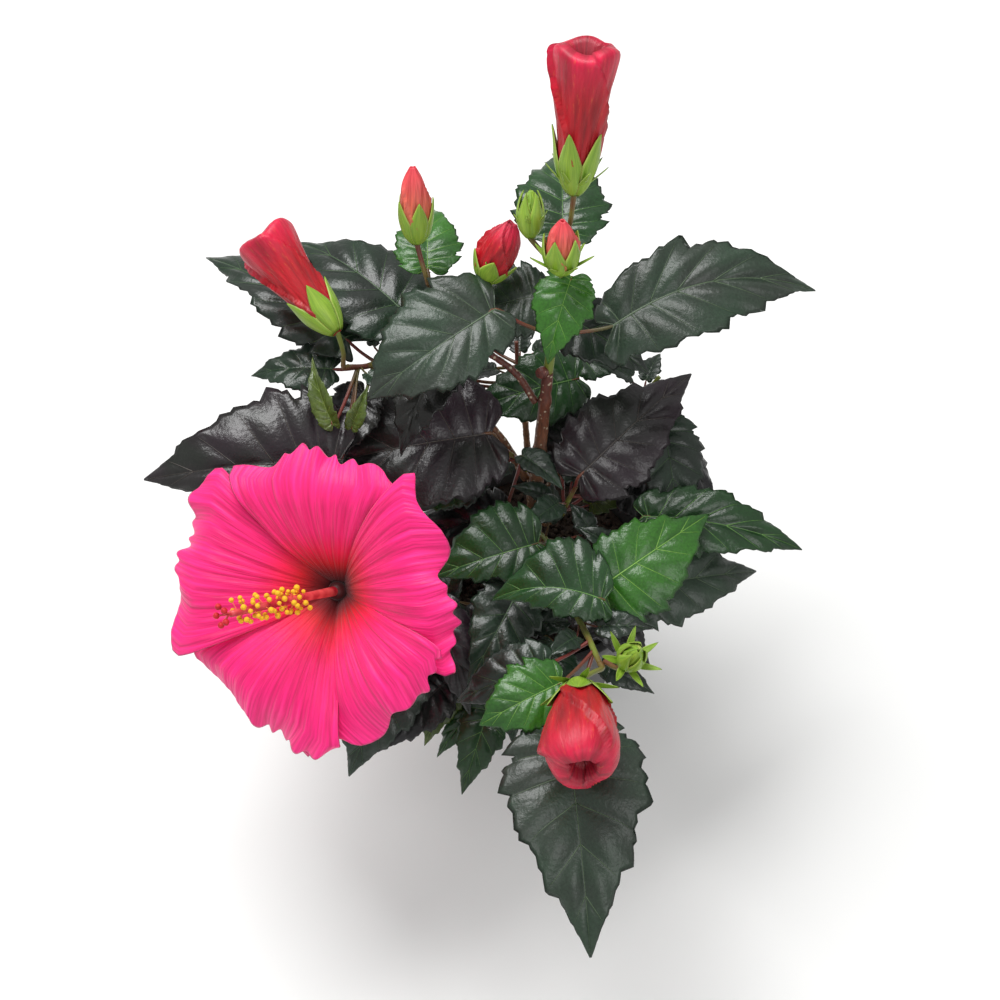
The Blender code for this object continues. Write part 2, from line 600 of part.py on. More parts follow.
def bloom():
    """The open bloom: stalk, bracts, calyx, five petals, and the column that stands out of them."""
    level, up, axis = bloom_frame()
    throat = np.asarray(BLOOM_THROAT, float)
    foot = throat - axis * (BLOOM_DEPTH + 3)
    carrier, share, points = BLOOM_STALK
    route = seated(carrier, share, points, BLOOM_STALK_RADIUS) + [foot, foot + axis * 4]
    radii = np.full(BLOOM_STALK_RINGS, BLOOM_STALK_RADIUS)
    stalk = tube(smooth_path(route, BLOOM_STALK_RINGS), radii, SHOOT_SIDES)
    petals = [plate(petal_points(k, PETAL_ROWS, PETAL_COLUMNS), PETAL_THICKNESS, axis) for k in range(5)]
    column = smooth_path([throat + x * level + y * up + z * axis for x, y, z in COLUMN], 6)
    calyx = turned(foot, axis, CALYX, CALYX_LENGTH, BUD_SIDES)
    column = tube(column, np.linspace(*COLUMN_RADII, 6), SHOOT_SIDES)
    return [calyx, stalk, column, *petals, *bracts("bloom_open", foot, axis)]


def material(name):
    """A plain Principled material with the part's colour and roughness."""
    found = bpy.data.materials.get(name)
    if found:
        return found
    made = bpy.data.materials.new(name)
    made.use_nodes = True
    shader = made.node_tree.nodes["Principled BSDF"]
    red, green, blue, roughness = COLORS[name]
    shader.inputs["Base Color"].default_value = (red, green, blue, 1)
    shader.inputs["Roughness"].default_value = roughness
    shader.inputs["Metallic"].default_value = 0
    return made


def add_object(name, body, finish):
    """A mesh object in metres from points in millimetres and faces, its faces turned outwards."""
    points, faces = body
    mesh = bpy.data.meshes.new(name)
    places = [tuple(point) for point in np.asarray(points) * MM]
    mesh.from_pydata(places, [], [tuple(int(i) for i in face) for face in faces])
    work = bmesh.new()
    work.from_mesh(mesh)
    bmesh.ops.recalc_face_normals(work, faces=work.faces)
    work.to_mesh(mesh)
    work.free()
    mesh.materials.append(material(finish))
    thing = bpy.data.objects.new(name, mesh)
    bpy.context.scene.collection.objects.link(thing)
    return thing


def fuse(name, solids, finish):
    """One closed body from overlapping solids, by one Boolean union on a collection that is applied."""
    body = add_object(name, solids[0], finish)
    others = bpy.data.collections.new(name + "_pieces")
    for k, solid in enumerate(solids[1:]):
        piece = add_object(f"{name}_piece_{k}", solid, finish)
        bpy.context.scene.collection.objects.unlink(piece)
        others.objects.link(piece)
    bpy.context.scene.collection.children.link(others)
    union = body.modifiers.new("union", "BOOLEAN")
    union.operation = "UNION"
    union.operand_type = "COLLECTION"
    union.collection = others
    for solver in ("EXACT", "MANIFOLD"):
        union.solver = solver
        evaluated = body.evaluated_get(bpy.context.evaluated_depsgraph_get())
        joined = bpy.data.meshes.new_from_object(evaluated)
        keep_outer_body(joined)
        if is_closed(joined):
            break
    body.modifiers.clear()
    body.data = joined
    for piece in list(others.objects):
        bpy.data.objects.remove(piece)
    bpy.data.collections.remove(others)
    return body


def is_closed(mesh):
    """Whether two faces meet at every edge of a mesh, and neighbouring faces make one body of it."""
    work = bmesh.new()
    work.from_mesh(mesh)
    closed = all(len(edge.link_faces) == 2 for edge in work.edges)
    count = len(bodies(work.faces, lambda face: [near for edge in face.edges for near in edge.link_faces]))
    work.free()
    return closed and count == 1


def bodies(parts, neighbours):
    """The groups of parts that their neighbours join, the largest first."""
    unseen = set(parts)
    found = []
    while unseen:
        group = set()
        front = [unseen.pop()]
        while front:
            part = front.pop()
            group.add(part)
            fresh = [other for other in neighbours(part) if other in unseen]
            unseen.difference_update(fresh)
            front.extend(fresh)
        found.append(group)
    return sorted(found, key=len, reverse=True)


def keep_outer_body(mesh):
    """Keeps the largest connected body, which drops loose scraps and fills sealed hollows."""
    work = bmesh.new()
    work.from_mesh(mesh)
    bmesh.ops.remove_doubles(work, verts=work.verts, dist=MERGE_DISTANCE)
    bmesh.ops.dissolve_degenerate(work, edges=work.edges, dist=MERGE_DISTANCE)
    for scrap in bodies(work.verts, lambda vertex: [edge.other_vert(vertex) for edge in vertex.link_edges])[1:]:
        bmesh.ops.delete(work, geom=list(scrap), context="VERTS")
    bmesh.ops.triangulate(work, faces=work.faces)
    work.to_mesh(mesh)
    work.free()


def pot_wall_radius(z, inner=False):
    """The radius of the pot's tapering wall at a height."""
    outer = POT_BASE_RADIUS + (POT_TOP_RADIUS - POT_BASE_RADIUS) * z / POT_HEIGHT
    return outer - POT_WALL if inner else outer


def add_pot():
    """The pot: a tapering turned shell with a rim band, a flat underside and drain holes in a ring."""
    band = POT_HEIGHT - RIM_HEIGHT
    rim_radius = POT_TOP_RADIUS + RIM_STEP
    profile = [(0, POT_BASE_RADIUS - POT_EDGE),
               (POT_EDGE, pot_wall_radius(POT_EDGE)),
               (band, pot_wall_radius(band)),
               (band, pot_wall_radius(band) + RIM_STEP),
               (POT_HEIGHT - POT_EDGE, rim_radius),
               (POT_HEIGHT, rim_radius - POT_EDGE),
               (POT_HEIGHT, POT_TOP_RADIUS - POT_WALL + POT_EDGE / 2),
               (POT_HEIGHT - POT_EDGE, pot_wall_radius(POT_HEIGHT, True)),
               (POT_FLOOR, pot_wall_radius(POT_FLOOR, True))]
    pot = add_object("pot", turned(np.zeros(3), np.array((0, 0, 1.0)), profile, 1, POT_SIDES), "pot")
    for k in range(DRAIN_COUNT):
        turn = 2 * math.pi * k / DRAIN_COUNT
        middle = np.array((DRAIN_RING * math.cos(turn), DRAIN_RING * math.sin(turn), 0))
        path = middle + np.array([(0, 0, -2), (0, 0, POT_FLOOR + 2)])
        drill = add_object(f"drain_{k}", tube(path, (DRAIN_RADIUS, DRAIN_RADIUS), DRAIN_SIDES), "pot")
        drill.hide_render = True
        drill.display_type = "WIRE"
        cut = pot.modifiers.new(f"drain_{k}", "BOOLEAN")
        cut.operation = "DIFFERENCE"
        cut.object = drill
        cut.solver = "EXACT"
    return pot


def add_soil():
    """The soil that fills the pot, clear of its wall and floor by the gap."""
    low = POT_FLOOR + GAP
    path = np.array([(0, 0, low), (0, 0, SOIL_TOP)])
    radii = [pot_wall_radius(z, True) - GAP - 0.5 for z in (low, SOIL_TOP)]
    return add_object("soil", tube(path, radii, SOIL_SIDES), "soil")


def add_limbs():
    """The trunk and the boughs, each a tapering limb with flat ends."""
    add_object("trunk", limb("trunk", TRUNK_SIDES, TRUNK_RINGS), "bark")
    for name in BOUGHS:
        add_object(name, limb(name, BOUGH_SIDES, BOUGH_RINGS), "bark")


def add_foliage():
    """Each mass of leaves: one shoot with its leaf stalks and blades fused on."""
    for name in SHOOTS:
        solids = [limb(name, SHOOT_SIDES, SHOOT_RINGS)]
        for blade in LEAVES[name]:
            solids += [petiole(name, blade), blade_solid(blade)]
        fuse(name, solids, "leaf")


def add_blossom():
    """The open bloom and the buds, each fused to its own stalk."""
    fuse("bloom_open", bloom(), "bloom")
    for name in BUDS:
        fuse(name, bud(name), "bud")


def main():
    """Clears the scene and builds the plant in its pot."""
    for thing in list(bpy.data.objects):
        bpy.data.objects.remove(thing)
    add_pot()
    add_soil()
    add_limbs()
    fill_crown()
    add_foliage()
    add_blossom()


main()
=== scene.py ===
"""The looks of a potted hibiscus: a dark-leaved shrub with a pink bloom and eight buds in a plain pot.

The tables and the rule of growth are the ones of the part's source, written again here in
millimetres. MM turns them into the frame's metres. +X is to the right and +Y away from the onlooker.
"""
import math

import bmesh
import bpy
import numpy as np
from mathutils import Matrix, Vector

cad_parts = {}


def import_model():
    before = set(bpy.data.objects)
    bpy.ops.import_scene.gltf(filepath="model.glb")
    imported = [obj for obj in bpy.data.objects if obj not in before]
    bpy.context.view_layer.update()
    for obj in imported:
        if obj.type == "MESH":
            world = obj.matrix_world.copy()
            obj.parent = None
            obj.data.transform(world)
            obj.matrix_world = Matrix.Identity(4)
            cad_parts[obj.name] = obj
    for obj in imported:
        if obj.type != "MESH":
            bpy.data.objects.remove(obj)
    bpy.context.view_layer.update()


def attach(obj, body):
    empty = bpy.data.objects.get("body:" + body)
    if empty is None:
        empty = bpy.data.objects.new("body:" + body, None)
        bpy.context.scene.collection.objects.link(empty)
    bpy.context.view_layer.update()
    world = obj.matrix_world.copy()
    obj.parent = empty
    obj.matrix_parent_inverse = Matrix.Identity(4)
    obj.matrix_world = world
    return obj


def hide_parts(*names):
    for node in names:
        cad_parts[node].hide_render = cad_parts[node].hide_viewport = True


MM = 0.001
GAP = 0.3               # clear gap between two solids that meet, in millimetres
SEED = 7

# Pot and soil
POT_HEIGHT = 108
POT_TOP_RADIUS = 57
POT_BASE_RADIUS = 43
POT_WALL = 2.2
POT_FLOOR = 3.0
POT_EDGE = 1.2
RIM_HEIGHT = 13
RIM_STEP = 2.6
DRAIN_COUNT = 6
DRAIN_RADIUS = 4
DRAIN_RING = 27
SOIL_TOP = 98

# Trunk, from the flat cut at soil level to its tip, with the flare that dies out above the soil
TRUNK = [(0, 0, SOIL_TOP + GAP), (-1, 8, 117), (-1, 15, 138), (0, 20, 162), (2, 29, 190), (4, 37, 222)]
TRUNK_RADII = (4.4, 2.5)
TRUNK_FLARE = 3.6
FLARE_HEIGHT = 8

# Each limb: what carries it, the share of that one's length where it leaves, its further points,
# and its radius at root and tip. A share of 1 means that it goes on from the tip.
BOUGHS = {
    "bough_left": ("trunk", 0.40, [(-20, 36, 172), (-44, 52, 190), (-64, 56, 202)], (2.2, 1.6)),
    "bough_upper_left": ("trunk", 0.80, [(-12, 42, 216), (-32, 50, 228)], (1.8, 1.4)),
    "bough_right": ("trunk", 0.14, [(14, -4, 130), (30, -22, 146)], (2.1, 1.6)),
    "bough_upper_right": ("trunk", 0.22, [(6, 9, 132), (10, 6, 142)], (1.9, 1.5)),
    "bough_front": ("trunk", 0.08, [(6, -24, 128), (14, -50, 158)], (2.3, 1.7)),
    "bough_bloom": ("trunk", 0.12, [(-18, -8, 124), (-38, -28, 146)], (2.2, 1.6)),
    "bough_back": ("trunk", 0.28, [(-4, 40, 142), (-6, 60, 156)], (2.0, 1.5)),
    "bough_back_right": ("trunk", 0.34, [(18, 34, 148), (36, 46, 162)], (1.9, 1.4)),
}

SHOOTS = {
    "foliage_crown": ("trunk", 1, [(3, 43, 258), (9, 50, 290), (11, 55, 301)], (2.3, 1.6)),
    "foliage_upper_left": ("bough_upper_left", 1, [(-46, 56, 241), (-50, 62, 255)], (1.4, 1.1)),
    "foliage_left": ("bough_left", 1, [(-80, 50, 208), (-88, 44, 216)], (1.6, 1.2)),
    "foliage_inner_left": ("trunk", 0.47, [(-10, 21, 172), (-17, 22, 180)], (1.3, 1.0)),
    "foliage_upper_right": ("bough_upper_right", 1, [(13, 4, 154), (15, 4, 163), (18, 5, 173)], (1.5, 1.0)),
    "foliage_middle": ("trunk", 0.20, [(4, -6, 142), (5, -18, 156)], (1.4, 1.0)),
    "foliage_right": ("bough_right", 1, [(38, -27, 152), (45, -28, 160)], (1.6, 1.1)),
    "foliage_front": ("bough_front", 1, [(21, -72, 173), (26, -93, 186)], (1.7, 1.2)),
    "foliage_lower_left": ("bough_bloom", 1, [(-46, -44, 150), (-52, -62, 146)], (1.5, 1.0)),
    "foliage_lower_front": ("trunk", 0.07, [(-10, -30, 112), (-24, -64, 118)], (1.6, 1.0)),
    "foliage_back": ("bough_back", 1, [(-9, 74, 168), (-10, 82, 182)], (1.5, 1.0)),
    "foliage_back_right": ("bough_back_right", 1, [(50, 54, 173), (59, 60, 184)], (1.4, 1.0)),
}
LIMB_POINTS = 41            # points on each limb's middle line
SHOOT_POINTS = 21
LIMB_CHECKS = 30
STALK_CHECKS = 12
STRAIGHT_START = 0.35       # share of its first stretch over which a limb keeps its carrier's direction
PETIOLE_RADIUS = 0.85
PETIOLE_REACH = 0.36        # how far along the outline's parameter a stalk runs into the blade
PETIOLE_BACK = 4            # how many twentieths of the shoot a stalk starts below its blade
PETIOLE_LOWEST = 6
PETIOLE_SAG = 0.06

# The outline of half a blade, as shares of its length: how far along and how far from the midrib
OUTLINE = [(0, 0.012), (-0.07, 0.13), (-0.03, 0.27), (0.11, 0.375), (0.29, 0.40), (0.49, 0.32),
           (0.69, 0.20), (0.86, 0.085), (1, 0.006)]
OUTLINE_WIDTH = 0.8
BLADE_ARCH = 0.10
BLADE_CURL = 0.04


def leaf(base, tip, width=0.62, roll=0, folds=(8, 8), sides=(1, 1), reach=1, bend=0):
    """One leaf blade: foot and tip, width as a share of its length, roll about the midrib in degrees,
    the rise of its left and right half in degrees, how wide each half is, how near the foot its
    widest part lies (over 1) or how far from it (under 1), and the midrib's sideways bow."""
    return dict(base=base, tip=tip, width=width, roll=roll, folds=folds, sides=sides, reach=reach, bend=bend)


LEAVES = {
    "foliage_crown": [
        leaf((-20, 46, 259), (-77, 12, 238), 0.66, 22, (14, 4), (0.9, 1.2), 0.70),
        leaf((33, 46, 246), (127, 70, 240), 0.50, -18, (6, 14), (0.92, 1), 0.82, 0.10),
        leaf((1, 60, 250), (-40, 58, 232), 0.80, 15),
        leaf((9, 66, 228), (52, 45, 208), 0.62, -10),
        leaf((13, 45, 284), (3, 17, 258), 0.70, 0, (25, 5)),
        leaf((10, 75, 274), (10, 130, 266), 0.78, 0, (8, 8), (1.0, 0.95)),
    ],
    "foliage_upper_left": [
        leaf((-51, 75, 250), (-52, 119, 242), 0.68),
        leaf((-56, 65, 218), (-116, 121, 210), 0.62, -5),
    ],
    "foliage_left": [
        leaf((-89, 62, 210), (-163, 121, 198), 0.60, 0, (10, -10), (0.62, 1.2)),
        leaf((-91, 2, 202), (-184, 1, 186), 0.60, 22, (8, 8), (0.85, 1.2)),
        leaf((-96, 48, 208), (-136, 51, 198), 0.62, 5),
        leaf((-94, 14, 213), (-104, 42, 227), 0.35, 30, (35, 35)),
        leaf((-86, 13, 212), (-78, 28, 225), 0.40, -20, (35, 35)),
    ],
    "foliage_inner_left": [
        leaf((-22, 24, 190), (-113, 16, 170), 0.64, 24, (10, 6)),
        leaf((-16, 6, 146), (-67, -4, 128), 0.62, 12),
    ],
    "foliage_upper_right": [
        leaf((19, 6, 180), (74, 59, 188), 0.60, -14, (4, 12)),
        leaf((12, 25, 160), (25, 65, 166), 0.70),
        leaf((33, 23, 148), (76, 40, 150), 0.45, -10),
        leaf((26, 13, 142), (52, 26, 142), 0.60),
    ],
    "foliage_middle": [
        leaf((0, -25, 172), (-51, -37, 160), 0.66, 20, (8, 8), (0.72, 1.35)),
        leaf((25, -12, 160), (15, 1, 164), 0.70),
        leaf((-8, -30, 128), (-40, -70, 112), 0.60),
        leaf((20, -32, 136), (54, -64, 120), 0.62),
    ],
    "foliage_right": [
        leaf((27, -51, 176), (79, -14, 180), 0.62, -18, (8, 8), (0.95, 1.25)),
        leaf((49, -11, 172), (125, -21, 158), 0.44, -18, (8, 8), (0.95, 0.9), 0.85, 0.03),
        leaf((40, -42, 158), (105, -24, 142), 0.58, -20),
    ],
    "foliage_front": [
        leaf((29, -62, 186), (-22, -55, 172), 0.66, 20, (8, 8), (0.72, 1.4), 1, -0.10),
        leaf((9, -104, 190), (-27, -120, 180), 0.80, 14, (8, 8), (0.9, 1), 0.75),
        leaf((11, -124, 182), (21, -211, 140), 0.62, 0, (10, 10), (1.05, 1), 1.12),
        leaf((31, -69, 132), (55, -80, 124), 0.50, -10),
    ],
    "foliage_lower_left": [
        leaf((-48, -48, 156), (-32, -93, 128), 0.46),
        leaf((-64, -70, 146), (-89, -116, 110), 0.60, 10),
        leaf((-43, -76, 130), (-76, -103, 108), 0.55, 10),
        leaf((-39, -74, 124), (-54, -99, 106), 0.50),
    ],
    "foliage_lower_front": [
        leaf((-26, -82, 122), (-48, -104, 104), 0.45),
        leaf((-22, -85, 126), (-36, -122, 102), 0.50, 5),
        leaf((-13, -78, 131), (-12, -103, 117), 0.55),
        leaf((8, -52, 122), (6, -92, 112), 0.55),
    ],
    "foliage_back": [
        leaf((20, 59, 184), (-36, 47, 172), 0.60, 20),
    ],
    "foliage_back_right": [],
}

# Leaves that fill the sides, the back and the inside of the crown: how many each mass gets, the
# middle of the turn that they fan out over in degrees (0 is +X, 90 is +Y), and half of that fan
FILLERS = {
    "foliage_upper_left": (1, 250, 90),
    "foliage_left": (1, 230, 60),
    "foliage_inner_left": (3, 190, 70),
    "foliage_upper_right": (1, 20, 60),
    "foliage_middle": (3, 240, 110),
    "foliage_right": (2, 300, 70),
    "foliage_front": (1, 250, 60),
    "foliage_lower_left": (2, 170, 70),
    "foliage_lower_front": (1, 200, 90),
    "foliage_back": (5, 110, 110),
    "foliage_back_right": (4, 20, 110),
}
FILLER_TRIES = 300
FILLER_LENGTH = (42, 66)
FILLER_PETIOLE = (14, 34)
FILLER_DROP = (0.15, 0.75)
FILLER_STEPS = (4, 20)       # between which of a shoot's points they leave it
FILLER_ROLL = (-15, 15)
LEAF_CLEAR = 5.5            # how near the checked points of two leaves may come
STALK_CLEAR = 3.5
LIMB_CLEAR = 4.5
BLOSSOM_CLEAR = 18
LOWEST_LEAF = 84
GOLDEN_SHARE = 0.618034
CROWN_MIDDLE = (-14, 2, 160)
CROWN_REACH = (112, 116, 95)

# Blossom: what carries it, the share where its stalk leaves, the stalk's points to the calyx
# and the far end of the bud
BUDS = {
    "bud_tall": ("foliage_crown", 1, [(12, 56, 310), (13, 60, 321)], (17, 92, 376)),
    "bud_left": ("foliage_left", 1, [(-90, 45, 226), (-92, 49, 236)], (-127, 89, 256)),
    "bud_front": ("foliage_front", 1, [(22, -101, 193), (16, -107, 197)], (16, -156, 216)),
    "bud_upright": ("foliage_upper_left", 1, [(-53, 68, 264), (-55, 73, 271)], (-56, 91, 302)),
    "bud_red": ("foliage_upper_left", 0.75, [(-38, 57, 250), (-25, 62, 257)], (-13, 77, 281)),
    "bud_green": ("foliage_crown", 0.78, [(2, 52, 289), (-5, 56, 297)], (-5, 68, 314)),
    "bud_pink": ("foliage_crown", 0.80, [(8, 42, 289), (8, 38, 295)], (8, 48, 319)),
    "bud_lime": ("foliage_front", 0.9, [(33, -98, 192), (36, -99, 199)], (41, -101, 216)),
}
# The radius of each bud at shares of its length
FURLED = [(0, 2.0), (0.08, 5.2), (0.22, 8.2), (0.42, 9.2), (0.66, 11.2), (0.86, 13.6), (0.97, 13.8), (1, 9.5)]
PLUMP = [(0, 2.2), (0.10, 7), (0.28, 11.5), (0.55, 15.5), (0.80, 16.2), (0.95, 12.5), (1, 7)]
SHUT = [(0, 1.6), (0.14, 4.9), (0.36, 6.6), (0.58, 6.2), (0.82, 4.4), (1, 1.2)]
SWOLLEN = [(0, 1.6), (0.15, 6), (0.42, 8.6), (0.72, 7.4), (1, 2.2)]
TINY = [(0, 1.3), (0.2, 3.9), (0.5, 4.9), (0.8, 3.3), (1, 0.8)]
BUD_SHAPES = {
    "bud_tall": (FURLED, 1), "bud_left": (FURLED, 1), "bud_front": (PLUMP, 1), "bud_upright": (SHUT, 1),
    "bud_red": (SWOLLEN, 1), "bud_green": (TINY, 1), "bud_pink": (SHUT, 1.05), "bud_lime": (TINY, 1.05),
}
# The narrow bracts under each calyx: how many, how long, and how far they stand off the axis in
# degrees. The open bloom's stand off further here than in the part, to lie under its petals.
BRACTS = {
    "bud_tall": (7, 17, 48), "bud_left": (6, 15, 35), "bud_front": (6, 18, 70), "bud_upright": (6, 11, 35),
    "bud_red": (5, 12, 40), "bud_green": (6, 11, 38), "bud_pink": (7, 15, 60), "bud_lime": (7, 15, 62),
    "bloom_open": (7, 17, 84),
}
BRACT_SEAT = 1.2
STALK_RADIUS = 1.1
BLOOM_STALK_RADIUS = 1.4

# The open bloom
BLOOM_STALK = ("bough_bloom", 0.97, [(-56, -36, 156), (-78, -48, 166), (-90, -56, 177)])
BLOOM_THROAT = (-102, -67, 200)
BLOOM_AXIS = (-0.371, -0.503, 0.780)
BLOOM_DEPTH = 28            # from the calyx to the plane of the rim
PETAL_TURNS = (117, 41, -27, -87, -163)
PETAL_REACH = (62, 66, 66, 66, 72)
PETAL_ROOT = 3.5
PETAL_HALF_WIDTH = 47
COLUMN = [(0, 0, -16), (0, 0, 4), (-4, -4, 22), (-12, -12, 41)]   # in the bloom's own frame
COLUMN_RADII = (2.2, 1.4)

# Young leaves near the shoots' tips, which only this script makes
YOUNG_WANTED = 3
YOUNG_TRIES = 60
YOUNG_STEPS = (10, 20)      # between which of a shoot's points they leave it
YOUNG_PETIOLE = (5, 12)
YOUNG_LENGTH = (16, 28)
YOUNG_LIFT = 6
YOUNG_SLOPE = (0.5, -0.2)    # how steeply the lowest and the highest of them climb
YOUNG_WIDTH = 0.58
YOUNG_STALK = 0.6           # radius of their stalks, as a share of the others'
YOUNG_ROLL = (-20, 20)
YOUNG_FOLDS = (22, 22)
YOUNG_CLEAR = 3
YOUNG_BUD_CLEAR = 12
SMALL_LEAF = 30             # leaves shorter than this are drawn with fewer faces

# Fine surface of the leaves
WELD = 2e-7                 # in metres
LEAF_GRID = (73, 27)        # rows and columns
SMALL_GRID = (33, 15)
LEAF_THICKNESS = 0.5
TEETH = 7
TOOTH_DEPTH = 0.30
TEETH_START = 0.16          # shares of the edge: where teeth start, over which they grow and die out
TEETH_GROW = 0.14
TEETH_END = 0.12
VEINS = 8
VEIN_LIFT = 0.55            # share of the leaf's thickness
# Radii of the midrib at its foot and tip, and of a low and a high side vein, as shares of the blade's
# length. The side veins before number LOW_VEINS are low ones.
MIDRIB = (0.0085, 0.002)
LOW_VEIN = 0.0050
HIGH_VEIN = 0.0038
LOW_VEINS = 3
MIDRIB_END = 0.985          # share of the blade where the midrib ends
MIDRIB_RINGS = 24
VEIN_SPAN = (0.02, 0.90)    # shares across between which a side vein runs
VEIN_RINGS = 12
VEIN_TAPER = 0.25
RIB_FLAT = 0.6
PUCKER = 0.020
# Waves near a leaf's edge: height as a share of the blade's length, waves along it, how many times they
# take the leaf's own phase, how far the two halves are out of step, and power of the share across
EDGE_WAVES = [(0.022, 2.6, 1, 1.9, 2.5), (0.0088, 7.3, 3, 0, 4)]

# Fine surface of the limbs and stalks
STEM_RINGS = 90
STEM_SIDES = 18
TWIG_SWELL = 1.02           # how much thicker a shoot is than the part's
BARK_RIPPLES = [(0.05, 1.7), (0.07, 0.61)]   # height, and turn from ring to ring
NODE_STEP = 22              # rings from one swelling of the trunk to the next
NODE_RISE = 0.55
CUT_STUB = [(4, 38, 218), (2, 36, 224), (0.5, 33, 227)]
CUT_STUB_RADIUS = 2.6
PETIOLE_FINE_RINGS = 18
BUD_STALK_RINGS = 24

# Fine surface of the blossom
PETAL_GRID = 91
PETAL_FINE_THICKNESS = 0.54
PETAL_SHIFT = 1.7           # phase from one petal to the next
PETAL_SIDE_WAVE = 1.5
PETAL_FOLD = 0.45
PETAL_RIB = 0.18
# Waves of the rim that lift it and that draw it outwards: height, waves over the breadth, start, how many
# times they take the petal's own phase, how far and how fast a slower wave sways them, and the power
RIM_LIFTS = [(2.6, 6.5, 0, 1.9, 0, 0, 4), (1.4, 15, 0, 0, 3, 2, 8)]
RIM_REACHES = [(2.2, 3.1, 1, 2.3, 0, 0, 6), (2.1, 7.7, 0, 2.9, 0, 0, 8), (1.5, 19, 0, 0, 5, 3, 14)]
PETAL_EDGES = 3             # edges of overlapping petals that wind round a bud
FURL_STEP = 1.5
CRINKLES = [(0.16, 34, 9, 0), (0.22, 13, -14, 1)]   # height, waves round, slant, share of the bud's number
BUD_TURNS = 97
BUD_MOUTH = ((0.03, 0.78), (0.10, 0.6), (0.16, 0.35), (0.12, 0))   # shares of length inwards and of radius
PROFILE_POINTS = 48
COLUMN_POINTS = 40
COLUMN_SWELL = 1.05
STIGMAS = 5
STIGMA_RADIUS = 1.5
STIGMA_AHEAD = 4.5
STIGMA_OUT = 4.2
STIGMA_STALK_RADIUS = 0.45
ANTHERS = 60
ANTHER_SPAN = (0.45, 0.96)  # shares of the column between which they stand
ANTHER_RADIUS = (1.0, 1.5)
THREAD_RADIUS = 0.22
THREAD_OUT = (3.6, 6.2)
THREAD_AHEAD = (0.2, 2.4)
SEPAL_COUNT = 5
SEPAL_THICKNESS = 0.7
SEPAL_CLEAR = 0.55
SEPAL_ARCH = 0.5
SEPAL_FLARE = 1.2
BRACT_HALF_WIDTH = 1.75
BRACT_THICKNESS = 0.6
BRACT_RISE = 1.5
BRACT_CHANNEL = 0.5
OPEN_CALYX_DEPTH = 3        # how far its foot lies below the petals' roots

# Fine surface of pot and soil
POT_FINE_SIDES = 144
DRAIN_SIDES = 32
SHARP_DEGREES = 40
SOIL_SINK = 1.0             # how far the soil's surface lies below the part's
SOIL_INSET = 0.6            # how far its side lies inside the pot's wall
SOIL_RINGS = 60
SOIL_TURNS = 160
CRUMBS = 900
CRUMB_RADIUS = (0.7, 2.4)
CRUMB_INSET = 2.6

# The open bloom's calyx, spread out under its petals: heights over its foot and radii
OPEN_CALYX = [(0, 2.6), (2.5, 6.5), (6, 11), (10, 15.5), (14, 20)]

# Sepals of each bud: the share of its length that they cover, and how wide they are
SEPALS = {
    "bud_tall": (0.46, 1.05), "bud_left": (0.42, 1.05), "bud_front": (0.34, 1.0), "bud_upright": (0.60, 1.1),
    "bud_red": (0.45, 1.05), "bud_green": (0.99, 1.15), "bud_pink": (0.74, 1.1), "bud_lime": (0.97, 1.15),
}

# Colours of each tone of leaf: its skin, its second tint, and its roughness. The sheen tone is the leaf's own
# dark green painted lighter and greyer, a painted sheen of the sky.
LEAF_COLORS = {
    "black": ((0.006, 0.005, 0.007), (0.010, 0.010, 0.008), 0.30),
    "purple": ((0.017, 0.009, 0.014), (0.011, 0.013, 0.010), 0.32),
    "dark": ((0.009, 0.027, 0.012), (0.011, 0.016, 0.012), 0.32),
    "sheen": ((0.020, 0.042, 0.023), (0.022, 0.031, 0.022), 0.38),
    "green": ((0.012, 0.052, 0.011), (0.008, 0.030, 0.008), 0.30),
    "bright": ((0.030, 0.130, 0.010), (0.017, 0.075, 0.010), 0.32),
    "olive": ((0.075, 0.110, 0.014), (0.045, 0.075, 0.010), 0.34),
}
# Noises by scale, detail and roughness: a leaf's cloudy patches and their edges, its grain and what it
# multiplies the colour by, and its cells
LEAF_PATCHES = (38, 2)
LEAF_PATCH_STOPS = [(0.38, 0), (0.66, 1)]
LEAF_GRAIN = (900, 4, 0.6)
LEAF_GRAIN_STOPS = [(0.30, 0.72), (0.70, 1.18)]
LEAF_CELLS = (420, 3, 0.6)
# What a vein's colour has more than a share of its leaf's. The sheen tone's veins carry its painted sheen
# too.
VEIN_SHARE = 0.62
VEIN_PALE = {
    "black": (0.022, 0.024, 0.018), "purple": (0.040, 0.036, 0.026), "dark": (0.045, 0.085, 0.030),
    "sheen": (0.055, 0.080, 0.040), "green": (0.090, 0.190, 0.040), "bright": (0.170, 0.300, 0.050),
    "olive": (0.200, 0.260, 0.060),
}
# The tones of the leaves that the photo shows, in the order of LEAVES. The others are dealt theirs.
TONES = {
    "foliage_crown": ("sheen", "sheen", "sheen", "dark", "bright", "green"),
    "foliage_upper_left": ("bright", "dark"),
    "foliage_left": ("dark", "purple", "dark", "olive", "olive"),
    "foliage_inner_left": ("purple", "black"),
    "foliage_upper_right": ("purple", "black", "green", "olive"),
    "foliage_middle": ("green", "dark", "black", "black"),
    "foliage_right": ("bright", "green", "sheen"),
    "foliage_front": ("green", "bright", "sheen", "dark"),
    "foliage_lower_left": ("purple", "dark", "black", "olive"),
    "foliage_lower_front": ("green", "green", "dark", "dark"),
    "foliage_back": ("green",),
}
DEALT_TONES = ["black", "dark", "dark", "green"]
BUD_TONES = {
    "bud_tall": "red", "bud_left": "red", "bud_front": "red", "bud_red": "red",
    "bud_upright": "pink", "bud_pink": "pink", "bud_green": "green", "bud_lime": "green",
}

